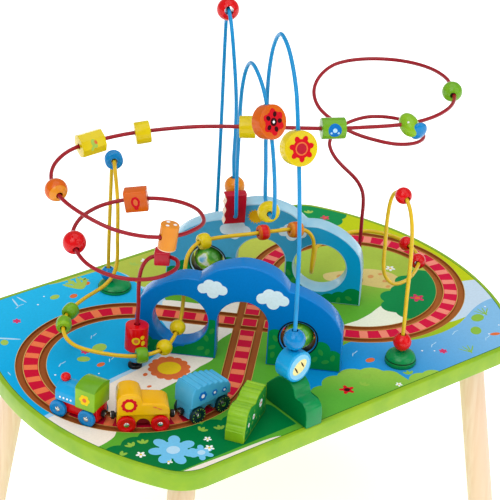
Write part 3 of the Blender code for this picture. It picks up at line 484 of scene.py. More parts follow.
def loopBand(radiusIn, radiusOut, start):
    # The left loop between two radii, with its straight ends stopping short of the crossing
    inner, outer = track["radius"] - radiusIn, radiusOut - track["radius"]
    upper = [((-start - side) * half, (start - side) * half) for side in (-outer, inner)]
    lower = [(x, -y) for x, y in reversed(upper)]
    outside = arcPoints((-loopX, 0), radiusOut, 45, 315, track["steps"])
    inside = arcPoints((-loopX, 0), radiusIn, 315, 45, track["steps"])
    return [upper[0]] + outside + [lower[1]] + [lower[0]] + inside + [upper[1]]


def eightOutlines(reachOut):
    # The whole track as a figure eight: outer edge first, then the two fields inside its loops
    tip = reachOut * math.sqrt(2)
    left = arcPoints((-loopX, 0), track["radius"] + reachOut, 45, 315, track["steps"])
    field = arcPoints((-loopX, 0), track["radius"] - reachOut, 45, 315, track["steps"]) + [(-tip, 0)]
    return [left + [(0, -tip)] + mirrored(left) + [(0, tip)], field, mirrored(field)]


# From the middle of the track to the near and the far side of a groove
grooveIn = (track["spacing"] - track["groove"]) / 2
grooveOut = (track["spacing"] + track["groove"]) / 2
square = [polar(grooveIn * math.sqrt(2), angle) for angle in (0, 90, 180, 270)]


def grooveTool():
    band = loopBand(track["radius"] - grooveIn, track["radius"] + grooveIn, grooveOut)
    mesh = plateMesh(eightOutlines(grooveOut) + [band, mirrored(band), square], track["depth"] * 2)
    mesh.transform(move(0, 0, boardTop))
    return mesh


def slab(outlines, bottom, top):
    mesh = plateMesh(outlines, top - bottom)
    mesh.transform(move(0, 0, boardTop + (top + bottom) / 2))
    return mesh


def makeBoard():
    mesh = plateMesh([boardOutline()], board["thickness"], board["rounding"], 3)
    mesh.transform(move(0, 0, boardTop - board["thickness"] / 2))
    mesh = carve(mesh, grooveTool())
    for face in mesh.polygons:
        middle = face.center
        inGroove = boardTop - track["depth"] - 1e-5 < middle.z < boardTop - 1e-6
        nearTrack = abs(math.hypot(abs(middle.x) - loopX, middle.y) - track["radius"]) < 0.018
        crossing = abs(middle.x) < 0.085 and abs(abs(middle.x) - abs(middle.y)) < 0.026
        face.material_index = 1 if inGroove and (nearTrack or crossing) else 0
    addPiece("board", mesh, [paint["lime"], ink["groove"]], replaces=["tabletop"])


def makeTrackPrint():
    radius, line = track["radius"], track["line"]
    thin = line * 0.8
    edge = loopBand(radius - grooveIn, radius + grooveIn, grooveOut)
    within = loopBand(radius - grooveIn + thin, radius + grooveIn - thin, grooveOut + thin)
    bands = [slab([shape], 0, level["field"]) for shape in (edge, mirrored(edge), square)]
    addPiece("trackBand", joined(bands), ink["track"])
    # Gold lines along both edges of every groove: printed rail lines that also carry a painted highlight, the
    # lit edges of the groove walls drawn onto the flat top
    rims, wide = eightOutlines(grooveOut), eightOutlines(grooveOut + line * 0.6)
    frames = ([edge, within], [mirrored(edge), mirrored(within)],
              [square, [(x * 0.9, y * 0.9) for x, y in square]],
              [wide[0], rims[0]], [rims[1], wide[1]], [rims[2], wide[2]])
    addPiece("trackRailLinesAndHighlights", joined([slab(pair, 0, level["motif"]) for pair in frames]), ink["gold"])
    sleepers = bmesh.new()
    count = int((306 - track["sleeperStart"]) / track["sleeperStep"]) + 1
    angles = [track["sleeperStart"] + i * track["sleeperStep"] for i in range(count)]
    places = [(polar(radius, a)[0] - loopX, polar(radius, a)[1], a) for a in angles]
    for far in (-0.035, -0.0593, -0.0836, -0.1079):
        places += [(far * half, far * half, -45), (far * half, -far * half, 45)]
    size = Matrix.Diagonal((track["sleeperLength"], track["sleeperWidth"], level["motif"], 1))
    places += [(-x, -y, angle) for x, y, angle in places]
    for x, y, angle in places:
        place = move(x, y, boardTop + level["motif"] / 2) @ spun(angle)
        bmesh.ops.create_cube(sleepers, size=1.0, matrix=place @ size)
    addPiece("sleepers", meshOf(sleepers), ink["sleeper"])


# Printed fields of the board, points in millimetres from its middle
fields = {
    "printShoreLeft": dict(ink="shore", level="base", points=[
        (-330, 230), (-150, 230), (-60, 196), (-46, 160), (-46, 120), (-56, 88), (-70, 60), (-76, 38),
        (-90, 14), (-116, -2), (-150, -14), (-190, -20), (-240, -30), (-275, -40), (-335, -52), (-370, 0)]),
    "printWaterLeft": dict(ink="water", level="patch", points=[
        (-330, 230), (-154, 230), (-150, 200), (-72, 194), (-60, 168), (-62, 130), (-70, 100), (-82, 70),
        (-88, 45), (-98, 24), (-122, 8), (-150, -3), (-190, -8), (-240, -16), (-275, -24), (-335, -32),
        (-360, 0)]),
    "printSandLeft": dict(ink="sand", level="field", points=[
        (-56, 96), (-26, 68), (14, 46), (34, 26), (14, 6), (-30, -6), (-58, -14), (-84, -40), (-104, -44),
        (-140, -54), (-180, -60), (-220, -74), (-248, -90), (-262, -104), (-300, -110), (-335, -100),
        (-335, -46), (-275, -34), (-240, -24), (-190, -14), (-150, -8), (-116, 4), (-88, 22), (-76, 44),
        (-70, 70)]),
    "printMeadowBack": dict(ink="meadow", level="field", points=[
        (-156, 236), (-150, 197), (-110, 194), (-72, 192), (-58, 168), (-60, 140), (-40, 118), (20, 106),
        (110, 120), (190, 130), (220, 160), (216, 236)]),
    "printBushFront": dict(ink="bush", level="patch", bottom=-192, discs=[
        (-276, -134, 17), (-252, -130, 16), (-230, -128, 15), (-206, -136, 15), (-184, -142, 14),
        (-162, -148, 14), (-140, -152, 13), (-118, -150, 13), (-98, -154, 13)]),
    "printSandFront": dict(ink="sand", level="patch", points=[
        (-256, -196), (-236, -194), (-180, -196), (-118, -199), (-108, -204), (-130, -206), (-200, -206),
        (-250, -204)]),
    "printWaterRight": dict(ink="waterRight", level="patch", points=[
        (-44, -150), (-34, -124), (0, -114), (40, -104), (76, -98), (98, -112), (130, -132), (170, -141),
        (210, -137), (246, -122), (280, -116), (318, -132), (360, -180), (340, -240), (-36, -240),
        (-50, -190)]),
    "printShoreRight": dict(ink="shore", level="base", points=[
        (200, -128), (238, -108), (258, -86), (270, -66), (296, -72), (330, -92), (330, -160), (270, -128),
        (240, -130)]),
    "printLawnRight": dict(ink="lawn", level="base", inside=True, points=[
        (-10, -160), (340, -160), (340, 160), (-10, 160)]),
    "printBushMiddle": dict(ink="bushPale", level="motif", bottom=-216, discs=[
        (-52, -196, 14), (-38, -182, 15), (-22, -164, 16), (2, -158, 18), (26, -158, 19), (46, -166, 17),
        (60, -180, 15), (88, -204, 15), (104, -206, 14)]),
    "printBushRight": dict(ink="bush", level="patch", bottom=-256, turn=45, inside=True, discs=[
        (65, -184, 16), (73.5, -164, 14), (94.7, -162.6, 15), (111.7, -174, 15), (135.7, -178, 15),
        (152.7, -192, 15)]),
    "printRiver": dict(ink="river", level="field", points=[
        (84, -66), (110, -66), (136, -62), (160, -56), (170, -66), (164, -90), (150, -104), (104, -96)]),
    "printPath": dict(ink="tan", level="field", points=[
        (146, 40), (170, 34), (196, 24), (212, 10), (220, -8), (216, -28), (200, -34), (186, -26),
        (172, -8), (152, 14), (140, 28)]),
    "printBushBack": dict(ink="bush", level="patch", bottom=-208, turn=180, discs=[
        (-226, -152, 15), (-244, -142, 15), (-260, -150, 13), (-268, -164, 12)]),
}


def hedge(discs, bottom, turn=0):
    # The outline of a row of round bushes standing on a straight line, then turned about the middle
    left, right = min(x - r for x, y, r in discs), max(x + r for x, y, r in discs)
    line = [(left, bottom)]
    for i in range(161):
        x = left + (right - left) * i / 160
        tops = [y + math.sqrt(max(r * r - (x - cx) ** 2, 0)) for cx, y, r in discs if abs(x - cx) <= r + 1e-6]
        line.append((x, max(tops + [bottom + 0.2])))
    return [tuple(spun(turn).to_2x2() @ Vector(p)) for p in line + [(right, bottom)]]


def makeFields():
    rim = boardOutline(board["rim"])
    outlines = eightOutlines(grooveOut + track["line"] * 0.6)
    pieces = [[rim, outlines[0]]] + [[outline] for outline in outlines[1:]]
    stencil = joined([slab(piece, 0, 0.004) for piece in pieces])
    right = slab([outlines[2]], 0, 0.004)
    land = carve(stencil, slab([boardOutline(-0.01)], -0.002, level["base"] * 0.7), "INTERSECT")
    addPiece("printLand", land, ink["land"])
    for name, field in fields.items():
        if "discs" in field:
            outline = inMm(hedge(field["discs"], field["bottom"], field.get("turn", 0)))
        else:
            outline = smoothThrough(inMm(field["points"]), 6, closed=True)
        mesh = carve(slab([outline], -0.002, level[field["level"]]), right if "inside" in field else stencil,
                     "INTERSECT")
        addPiece(name, mesh, ink[field["ink"]])
    seam = slab([boardOutline(board["rim"] - board["seam"]), rim], 0, level["base"])
    addPiece("printSeam", seam, ink["seam"])


def onField(x, y, width, length):
    # True where a blot, in millimetres, clears the rim, both loops and their crossing
    near, far = max(width, length) * 0.5, max(width, length) * 0.4
    ring = abs(math.hypot(abs(x) - loopX / mm, y) - track["radius"] / mm)
    halfWidth, bow, rim = board["width"] / mm / 2, board["endBow"] / mm, board["rim"] / mm
    endRadius = (halfWidth ** 2 + bow ** 2) / (2 * bow)
    end = board["length"] / mm / 2 - endRadius + math.sqrt(endRadius ** 2 - y ** 2)
    return (ring > 18 + near and (abs(x) > 84 or abs(abs(x) - abs(y)) * half > 18 + near)
            and abs(x) + far < end - rim and abs(y) + near < halfWidth - rim)


def scatter(name, material, spots, height="motif"):
    spots = [s for s in spots if onField(*s[:4])]
    addPiece(name, blots(spots, [move(0, 0, boardTop)], level[height], sides=16), ink[material])


def bloom(name, x, y, size, petal, heart, count, share):
    # A big printed flower head
    scatter(name + "Petals", petal, [(x, y, size * 0.62, size * 0.62, 0)]
            + ringOf(x, y, size * 0.36, size * 0.34, size * 0.26, count), "detail")
    scatter(name + "Heart", heart, [(x, y, size * share, size * share * 0.92, 0)], "top")


def makeMotifs():
    pads = [(-178, 50, 20, 15, 20), (-206, 40, 15, 11, -30), (-160, 172, 13, 9, 10), (236, -140, 19, 14, 15),
            (214, -160, 18, 13, 40), (-262, 118, 12, 9, 60)]
    scatter("lilyPads", "leaf", pads)
    lilies = [s for x, y in ((-196, 52), (-226, 150), (150, -172)) for s in ringOf(x, y, 2.6, 5.4, 3.0, 6)]
    scatter("lilyFlowers", "pink", lilies, "detail")
    ripples = []
    for x, y, turn in ((-262, 60, 20), (-240, 96, 15), (-170, 74, 35), (-232, 44, 25), (-180, 22, 40),
                       (-288, 60, 70), (-206, 176, 10), (-140, 120, 10), (60, -120, 30), (110, -150, 20),
                       (150, -156, 25), (214, -180, 30), (252, -138, 20), (190, -150, 10)):
        ripples += [(x - 3, y, 8, 1.1, turn + 14), (x + 3, y + 2, 8, 1.1, turn - 12)]
    ripples += [(-256, 124, 34, 3.0, -38), (-250, 118, 34, 2.2, -38), (-206, 186, 20, 2.2, 80),
                (-196, 188, 18, 2, 100)]
    scatter("ripples", "pale", ripples)
    bubbles = ((-250, 30, 2.4), (-236, 74, 2), (-180, 40, 2.2), (-208, 6, 2), (-276, 10, 2.4), (-170, 180, 2),
               (-186, 168, 2.4), (130, -158, 2.4), (142, -166, 2), (222, -174, 2.2), (246, -166, 2),
               (262, -126, 2.4))
    scatter("bubbles", "white", [(x, y, size, size, 0) for x, y, size in bubbles])
    pebbles = [(-196, 20, 11, 7, 10), (-140, 162, 11, 8, 20), (-166, -24, 7, 5, 30), (66, -140, 12, 8, 0),
               (-92, 6, 6, 4, 20), (228, -178, 13, 6, -20), (-110, 178, 9, 6, 30), (-176, -46, 6, 4, 0)]
    scatter("pebbles", "coral", pebbles)
    stones = [(160, 26, 9, 6, 10), (178, 14, 8, 6, 0), (192, 4, 9, 7, 20), (200, -14, 8, 6, 0),
              (184, 24, 7, 5, 30), (206, 2, 6, 5, 0), (194, -26, 7, 5, 10)]
    scatter("pathStones", "tanSpot", stones)
    bloom("sunFlower", -136, -28, 46, "coral", "yellow", 14, 0.60)
    bloom("skyFlower", -224, -158, 50, "sky", "pale", 7, 0.30)
    bloom("skyBud", -202, -178, 26, "sky", "pale", 6, 0.34)
    bloom("roseFlower", 206, -66, 17, "pink", "coral", 5, 0.4)
    bloom("roseBud", 242, 152, 12, "pink", "coral", 5, 0.4)
    bloom("redFlower", 4, -172, 17, "red", "dark", 5, 0.4)
    centres = ((-257, -146, 6), (-182, -162, 5), (-190, -176, 6), (-240, -172, 5), (226, 6, 7),
               (-58, -196, 4.5), (60, -196, 4.5), (190, 176, 6), (-20, 186, 6), (248, 100, 6))
    petals = [s for x, y, size in centres for s in ringOf(x, y, size * 0.55, size * 0.75, size * 0.5, 5, 18)]
    scatter("flowerPetals", "white", petals, "detail")
    scatter("flowerHearts", "yellow", [(x, y, size * 0.5, size * 0.5, 0) for x, y, size in centres], "top")
    leaves = []
    for x, y, turn in ((-276, -136, 30), (-256, -130, 80), (-180, -146, 10), (-160, -156, 60),
                       (-244, -132, 50), (24, -176, 20), (40, -168, 70), (84, -188, 60), (-40, 184, 20),
                       (-126, 186, 80), (-112, 186, 20), (232, 172, 50), (218, 180, 80), (262, 70, 80),
                       (20, 190, 30)):
        for step in (-28, 12, 52):
            side, ahead = polar(5, turn + step)
            leaves.append((x + side, y + ahead, 8, 3.6, turn + step))
    scatter("sprigs", "leaf", leaves, "detail")
    fronds = [(-122 + polar(r, a)[0], 170 + polar(r, a)[1], 26, 6, a)
              for a, r in ((48, 13), (72, 15), (96, 15), (124, 13))]
    scatter("fronds", "leaf", fronds, "detail")
    reeds = []
    for x, y in ((250, -140), (176, -192)):
        reeds += [(x + polar(7, a)[0], y + polar(7, a)[1], 18, 1.6, a) for a in (40, 65, 90, 118)]
    reeds += [(262, -100, 32, 1.8, -36), (268, -92, 30, 1.8, -36)]
    scatter("reeds", "leaf", reeds, "detail")


# Legs

leg = dict(diameter=0.030, rounding=0.0015)


def makeLegs():
    for name in ("leg_front_left", "leg_front_right", "leg_rear_left", "leg_rear_right"):
        low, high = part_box(name)
        reach = leg["diameter"] / 2
        ends = []
        for axis in (0, 1):
            near, far = sorted((low[axis], high[axis]), key=abs)
            ends.append((near + math.copysign(reach, far), far - math.copysign(reach, far)))
        top, foot = Vector((ends[0][0], ends[1][0], high.z)), Vector((ends[0][1], ends[1][1], low.z))
        body = bmesh.new()
        run = frameAlong((top + foot) / 2, foot - top)
        bmesh.ops.create_cone(body, cap_ends=True, segments=48, radius1=reach, radius2=reach,
                              depth=(foot - top).length * 1.25, matrix=run)
        for height, normal in ((high.z, 1), (low.z, -1)):
            cut = bmesh.ops.bisect_plane(body, geom=body.verts[:] + body.edges[:] + body.faces[:],
                                         plane_co=(0, 0, height), plane_no=(0, 0, normal), clear_outer=True)
            rim = [e for e in cut["geom_cut"] if isinstance(e, bmesh.types.BMEdge)]
            bmesh.ops.holes_fill(body, edges=rim)
            bmesh.ops.bevel(body, geom=rim, offset=leg["rounding"], segments=3, profile=0.5,
                            affect="EDGES", material=-1)
        addPiece(name.replace("_", "") + "Turned", meshOf(body), paint["beech"],
                 replaces=[name])


# Bridges, globes and upright blocks

bridge = dict(offset=0.0643, thickness=0.022, tunnel=0.058, spring=0.049, windowRadius=0.0315,
              windowAt=(-0.0705, 0.0465), globeAt=(0.0635, 0.039), globeHole=0.020, globeRadius=0.017,
              pin=0.0025, rounding=0.0012, film=0.00012, rearSlide=-0.0025)
gap = 0.0003


def bridgeOutlines(inset=0.0):
    humps = ([(-122, 45), (-118, 66), (-107.5, 79.5), (-91, 92), (-67, 101), (-51, 100.5)],
             [(-51, 100.5), (-34, 114.6), (-14, 121.5), (0, 124), (20, 121), (38, 112), (50, 98)],
             [(50, 98), (62, 95), (86, 84), (104, 68), (113, 51)])
    middle = Vector((0, 0.045))
    crown = [p for hump in humps for p in smoothThrough(inMm(hump), 8)[:-1]]
    crown = [p - (p - middle).normalized() * inset * 1.3 for p in crown]
    reach = bridge["tunnel"] / 2 + inset
    foot = [(0.113 - inset, 0.051), (0.114 - inset, inset), (reach, inset)]
    foot += arcPoints((0, bridge["spring"]), reach, 0, 180, 32)
    foot += [(-reach, inset), (-0.122 + inset, inset)]
    window = arcPoints(bridge["windowAt"], bridge["windowRadius"] + inset, 0, 360, 64)[:-1]
    globe = arcPoints(bridge["globeAt"], bridge["globeHole"] + inset, 0, 360, 48)[:-1]
    return [crown + foot, window, globe]


def facePrint(name, material, outlines, layer, place, sides=(1, -1)):
    # Thin prints on the faces of an upright board, trimmed to its outline and holes
    thin, meshes = bridge["film"], []
    stencil = plateMesh(bridgeOutlines(bridge["rounding"] + 0.0002), bridge["thickness"] + 0.004)
    for side in sides:
        for outline in outlines:
            mesh = plateMesh([outline], thin)
            mesh.transform(move(0, 0, side * (bridge["thickness"] / 2 + thin * (layer + 0.5))))
            meshes.append(carve(mesh, stencil, "INTERSECT"))
    addPiece(name, joined(meshes), material, place=place)


def cloudOutline(x, y, size):
    # A cloud as one closed line round five puffs
    puffs = ((-1.0, 0.0, 0.52), (-0.35, 0.38, 0.62), (0.38, 0.30, 0.60), (1.0, -0.02, 0.50),
             (0.05, -0.32, 0.62))
    points = []
    for step in range(60):
        rayX, rayY = polar(1, 6 * step)
        far = 0.0
        for puffX, puffY, radius in puffs:
            miss = puffX * rayY - puffY * rayX
            if abs(miss) < radius:
                far = max(far, puffX * rayX + puffY * rayY + math.sqrt(radius ** 2 - miss ** 2))
        points.append((x + rayX * far * size, y + rayY * far * size * 1.08))
    return points


def makeBridge(name, heading, body, face, slide=0.0):
    middle = bridge["offset"] + bridge["thickness"] / 2
    place = move(0, 0, boardTop + gap) @ spun(heading) @ standUp @ move(slide, 0, middle)
    mesh = plateMesh(bridgeOutlines(), bridge["thickness"], bridge["rounding"], 3)
    # The walls of the globe hole take the black paint: painted shade for the deep gap round the ball. The
    # black ring on the face is print
    for polygon in mesh.polygons:
        away = math.dist(polygon.center[:2], bridge["globeAt"])
        if abs(polygon.normal.z) < 0.5 and away < bridge["globeHole"] + 0.0012:
            polygon.material_index = 1
    title = name.replace("_", "")
    addPiece(title + "Board", mesh, [body, paint["black"]], place=place, replaces=[name])
    sheet = [(-0.13, -0.01), (0.13, -0.01), (0.13, 0.13), (-0.13, 0.13)]
    facePrint(title + "Film", face, [sheet], 0, place)
    clouds = [cloudOutline(-0.0354, 0.0905, 0.0112), cloudOutline(0.0324, 0.0855, 0.0122)]
    facePrint(title + "Clouds", ink["cloud"], clouds, 1, place)
    hedges = [inMm(hedge(discs, 0.3)) for discs in (
        [(-112, 10, 13), (-97, 6, 11), (-84, 2, 11), (-68, 2, 10), (-56, 8, 10), (-47, 20, 10),
         (-40, 34, 9.5), (-34, 42, 9)],
        [(38, 38, 10), (47, 32, 9), (60, 24, 10), (76, 24, 10), (90, 27, 11), (104, 18, 10), (114, 16, 9)])]
    facePrint(title + "Hedges", ink["bushDark"], hedges, 1, place)
    leaves = []
    for x, y, turn in ((-108, 9, 30), (-96, 5, 100), (-46, 12, 20), (-38, 8, 70), (-40, 26, 110),
                       (-34, 36, 60), (36, 14, 80), (35, 24, 30), (38, 36, 120), (50, 8, 20), (84, 14, 60),
                       (90, 24, 120), (96, 12, 20), (104, 18, 75), (66, 8, 15)):
        oval = move(x, y) @ spun(turn) @ Matrix.Diagonal((4.4, 2.6, 1, 1))
        leaves.append(inMm([oval @ Vector((*polar(1, 360 * i / 14), 0)) for i in range(14)]))
    facePrint(title + "Leaves", ink["bushSpot"], leaves, 2, place)
    ring = arcPoints(bridge["globeAt"], bridge["globeHole"] + 0.0030, 0, 360, 48)[:-1]
    facePrint(title + "GlobeRim", paint["black"], [ring], 3, place)
    if slide:
        rays = [polar(10 if i % 2 else 7.4, 360 * i / 32) for i in range(32)]
        facePrint(title + "Sun", ink["sun"], [inMm([(8.8 + x, 106.5 + y) for x, y in rays])], 2, place, (-1,))
    globeFrame = place @ move(*bridge["globeAt"]) @ standUp.inverted()
    pin = turned([(0, -0.0205), (bridge["pin"], -0.0205), (bridge["pin"], 0.0205), (0, 0.0205)], 20)
    addPiece(title + "Pin", pin, paint["steel"], place=globeFrame)
    return globeFrame


def ballProfile(radius, bore):
    flat = math.degrees(math.asin(bore / radius))
    outside = arcPoints((0, 0), radius, 90 - flat, flat - 90, 20)
    return outside + [outside[0]]


def makeGlobe(name, place):
    mesh = turned(ballProfile(bridge["globeRadius"], 0.003), 40)
    addPiece(name.replace("_", "") + "Ball", mesh, paint["globe"], name, place,
             replaces=[name])


block = dict(thickness=0.022, rounding=0.0012)


def uprightBlock(name, outline, place, body, film, face=None):
    mesh = plateMesh([outline], block["thickness"], block["rounding"], 2)
    title = name.replace("_", "")
    addPiece(title + "Board", mesh, body, place=place, replaces=[name], smooth=40)
    centre = sum((Vector(p) for p in outline), Vector((0, 0))) / len(outline)
    inset = block["rounding"] * (2.8 if face else 1.6)
    sheet = [Vector(p) - (Vector(p) - centre).normalized() * inset for p in face or outline]
    films = []
    for side in (1, -1):
        films.append(plateMesh([sheet], bridge["film"]))
        films[-1].transform(place @ move(0, 0, side * (block["thickness"] + bridge["film"]) / 2))
    addPiece(title + "Film", joined(films), film)


def ribbed(line, pitch, depth):
    # The same line with a shallow dip at every step along it
    far, out = 0.0, [line[0]]
    for a, b in zip(line, line[1:-1]):
        step = b - a
        far += step.length
        dip = depth * (1 - abs(math.sin(math.pi * far / pitch)) ** 0.5)
        out.append(b + Vector((step.y, -step.x)).normalized() * dip)
    return out + [line[-1]]


def makeBlocks():
    bushCrown = [(135, 20), (144, 30), (156, 41), (166, 43), (174, 43), (182, 37), (186, 28), (198, 27),
                 (204, 22), (206, 12)]
    bush = [(0.135, 0), *smoothThrough(inMm(bushCrown), 6), (0.206, 0)]
    bushPlace = move(-0.083 + block["thickness"] / 2, 0, boardTop + gap) @ spun(-90) @ standUp
    uprightBlock("bush_block", bush, bushPlace, paint["darkGreen"], ink["bush"])
    hillCrown = [(0, 12), (2.5, 20), (5, 29), (9, 34), (17, 36), (27, 33), (37, 33), (46, 37), (57, 36.5),
                 (64, 37), (68.5, 31), (69, 20)]
    crown = smoothThrough(inMm(hillCrown), 10)
    hill = [(0, 0), *ribbed(crown, 0.0078, 0.0015), (0.069, 0)]
    deep = block["thickness"] / 2
    hillPlace = move(-0.156, -0.191, boardTop + gap) @ spun(32.2) @ standUp @ move(0, 0, -deep)
    uprightBlock("hill_block", hill, hillPlace, paint["limePale"], ink["hill"],
                 [(0, 0), *crown, (0.069, 0)])
    tufts = ((8, 10), (16, 22), (12, 28), (24, 12), (30, 24), (38, 10), (44, 28), (52, 14), (58, 26),
             (62, 12), (20, 6), (48, 6), (34, 16))
    strokes = [(x, y, 4.4, 1.1, 60 + 25 * (i % 3)) for i, (x, y) in enumerate(tufts)]
    flowers = ((50, 22, 9.0), (28, 18, 6.0), (13, 16, 5.0))
    petals = [s for x, y, size in flowers for s in ringOf(x, y, size * 0.3, size * 0.5, size * 0.5, 5, 18)]
    hearts = [(x, y, size * 0.36, size * 0.36, 0) for x, y, size in flowers]
    for title, colour, spots, low, sides in (("Strokes", "leaf", strokes, 0.00012, 10),
                                             ("Petals", "white", petals, 0.00016, 12),
                                             ("Hearts", "coral", hearts, 0.00023, 12)):
        mesh = blots(spots, bothFaces(hillPlace, deep), low + bridge["film"], low, sides)
        addPiece("hill" + title, mesh, ink[colour])


# Wires and their feet, points in millimetres from the middle of the board's face

routes = {
    "yellow": [
        (-94, 157, 0), (-94, 157, 60), (-93, 156, 140), (-97, 149, 172), (-107, 131, 187),
        (-118, 111, 178), (-122, 100, 150), (-122, 99, 100), (-123, 98, 70), (-130, 95, 58),
        (-147, 90, 51), (-171, 89, 45), (-196, 83, 39), (-215, 68, 36), (-226, 46, 33),
        (-226, 27, 32), (-219, 11, 32), (-206, -7, 32), (-188, -22, 31), (-168, -31, 31),
        (-146, -32, 33), (-127, -23, 36), (-108, -8, 44), (-95, 5, 61), (-84, 19, 87),
        (-76, 25, 102), (-62, 28, 111), (-40, 27, 112), (4, 14, 111), (36, 5, 110), (66, -3, 107),
        (77, -6, 100), (83, -8, 88), (85, -6, 60), (90, 0, 40), (104, 14, 35), (123, 33, 34),
        (143, 53, 33), (170, 62, 31), (205, 64, 30), (228, 54, 30), (241, 38, 30), (248, 18, 30),
        (246, -2, 31), (238, -25, 33), (220, -48, 36), (184, -74, 42), (156, -88, 49),
        (133, -94, 58), (119, -94, 76), (116, -94, 115), (113, -97, 160), (109, -107, 188),
        (104, -126, 198), (100, -143, 189), (97, -154.5, 160), (93.5, -160, 90), (92.5, -161.5, 45),
        (92.5, -161.5, 0)],
    "blue": [
        (72, 164, 0), (73, 165, 120), (72, 164, 210), (67, 158, 275), (57, 145, 321),
        (45, 128, 342), (34, 107, 334), (28.5, 92, 302), (27, 81, 248), (26, 78, 204), (24, 76, 176),
        (25.5, 75, 149), (26, 74, 137), (24.5, 72, 127), (21, 69, 119), (17.5, 65, 114.5),
        (14.5, 59, 112.5), (12, 53, 113.5), (9.5, 48.5, 117), (7.5, 46, 125), (6, 45, 140),
        (4, 44, 180), (4, 44, 231), (2, 41, 280), (-3, 29, 313),
        (-9, 14, 328), (-18, -8, 329), (-25, -29, 318), (-29, -44, 298), (-30, -57, 260),
        (-30, -65, 215), (-29.5, -66, 190), (-28, -63.5, 179), (-24.5, -56.5, 173.5),
        (-18, -42.5, 172.5), (-13, -32, 174.5), (-10.3, -26.5, 181), (-9.3, -24, 193),
        (-9.2, -23, 212), (-10, -21, 245), (-11.4, -20, 310), (-15.6, -26.7, 344), (-24.3, -42.3, 375),
        (-36, -66, 396.8), (-45, -88, 394),
        (-53, -107, 382), (-62, -127, 360), (-70, -143, 325), (-75, -157, 270), (-76, -165, 200),
        (-76.5, -168, 141), (-77, -169.5, 90), (-76, -169.5, 43)],
    "red": [
        (-165.5, -3, 0), (-165.3, -2.8, 20), (-163, -1.2, 45), (-160, 1, 80), (-160, 1, 108),
        (-157, -2, 128), (-150, -6, 137),
        (-141, -10, 138), (-134, -17, 138), (-132, -29, 139), (-141, -42, 139), (-158, -48, 139),
        (-178, -47, 139), (-200, -38, 141), (-216, -20, 143), (-225, 5, 146), (-222, 33, 150),
        (-209, 59, 156), (-190, 71, 163), (-166, 71, 170), (-141, 59, 176), (-118, 38, 181),
        (-104, 9, 186), (-101, -22, 189), (-112, -48, 190), (-135, -63, 194), (-165, -68, 197),
        (-196, -58, 201), (-222, -35, 207), (-237, -4, 214), (-242, 30, 219), (-232, 66, 222),
        (-213, 90, 226), (-187, 101, 231), (-157, 99, 235), (-124, 88, 240), (-92, 70, 245),
        (-56, 43, 251), (-20, 11, 255), (20, -19, 256), (60, -46, 256), (100, -66, 256),
        (140, -82, 256), (176, -85, 256), (208, -78, 256), (234, -62, 255), (253, -39, 255),
        (268, -13, 255), (274, 18, 254), (270, 52, 251), (257, 82, 247), (233, 106, 243),
        (205, 116, 239), (175, 108, 233), (151, 89, 226), (138, 63, 219), (138, 37, 213),
        (145, 8, 207), (160, -14, 203), (181, -28, 198), (207, -32, 194), (230, -23, 191),
        (246, -2, 188), (254, 28, 185), (248, 58, 181), (231, 79, 177), (205, 86, 172),
        (180, 80, 167), (163, 67, 162), (157, 48, 154), (159, 30, 146), (164, 16, 137),
        (169, 8, 122), (170, 6, 90), (170, 6, 0)],
}
wire = dict(diameter=0.0045, footDiameter=0.016, footHeight=0.004)


def makeWires():
    for colour, route in routes.items():
        points = [p + Vector((0, 0, boardTop)) for p in smoothThrough(inMm(route), 10)]
        # The front end of the blue wire stops above the board
        for end in ((0,) if colour == "blue" else (0, -1)):
            points[end] += Vector((0, 0, gap))
        meshes = [curveMesh([points], False, dimensions="3D", bevel_depth=wire["diameter"] / 2,
                            bevel_resolution=4, use_fill_caps=True)]
        # Each foot of the red wire and the front foot of the blue wire stands on a black disc: a black cap,
        # also made black as painted shade for the contact shadow where the wire meets the board
        for end in {"red": (0, -1), "blue": (0,)}.get(colour, ()):
            radius, high = wire["footDiameter"] / 2, wire["footHeight"]
            profile = [(0, 0), (radius, 0), (radius, high * 0.7), (radius * 0.86, high), (0, high)]
            meshes.append(turned(profile, 32))
            meshes[-1].transform(move(points[end].x, points[end].y, boardTop + gap))
        mesh = joined(meshes)
        for polygon in mesh.polygons:
            polygon.material_index = min(1, polygon.material_index)
        coat = paint["wire" + colour.capitalize()]
        addPiece(colour + "Wire", mesh, [coat, paint["black"]],
                 replaces=[colour + "_wire"], smooth=50)


def makeDomes():
    for name in ("dome_foot_left", "dome_foot_right"):
        low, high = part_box(name)
        middle, radius, height = (low + high) / 2, (high.x - low.x) / 2, high.z - low.z
        profile = [(0, 0), (0.97, 0), (1, 0.06), (1, 0.30), (0.985, 0.35), (0.945, 0.37), (0.94, 0.42),
                   (0.965, 0.45), (0.93, 0.58), (0.85, 0.72), (0.70, 0.85), (0.48, 0.94), (0.24, 0.99),
                   (0, 1)]
        mesh = turned([(r * radius, z * height) for r, z in profile], 48)
        for polygon in mesh.polygons:
            polygon.material_index = int(0.34 < polygon.center.z / height < 0.44)
        addPiece(name.replace("_", "") + "Turned", mesh, [paint["darkGreen"], paint["forest"]],
                 place=move(middle.x, middle.y, low.z), replaces=[name])


# Beads: shape, size in millimetres (diameter and length along the wire, or width, height and length)

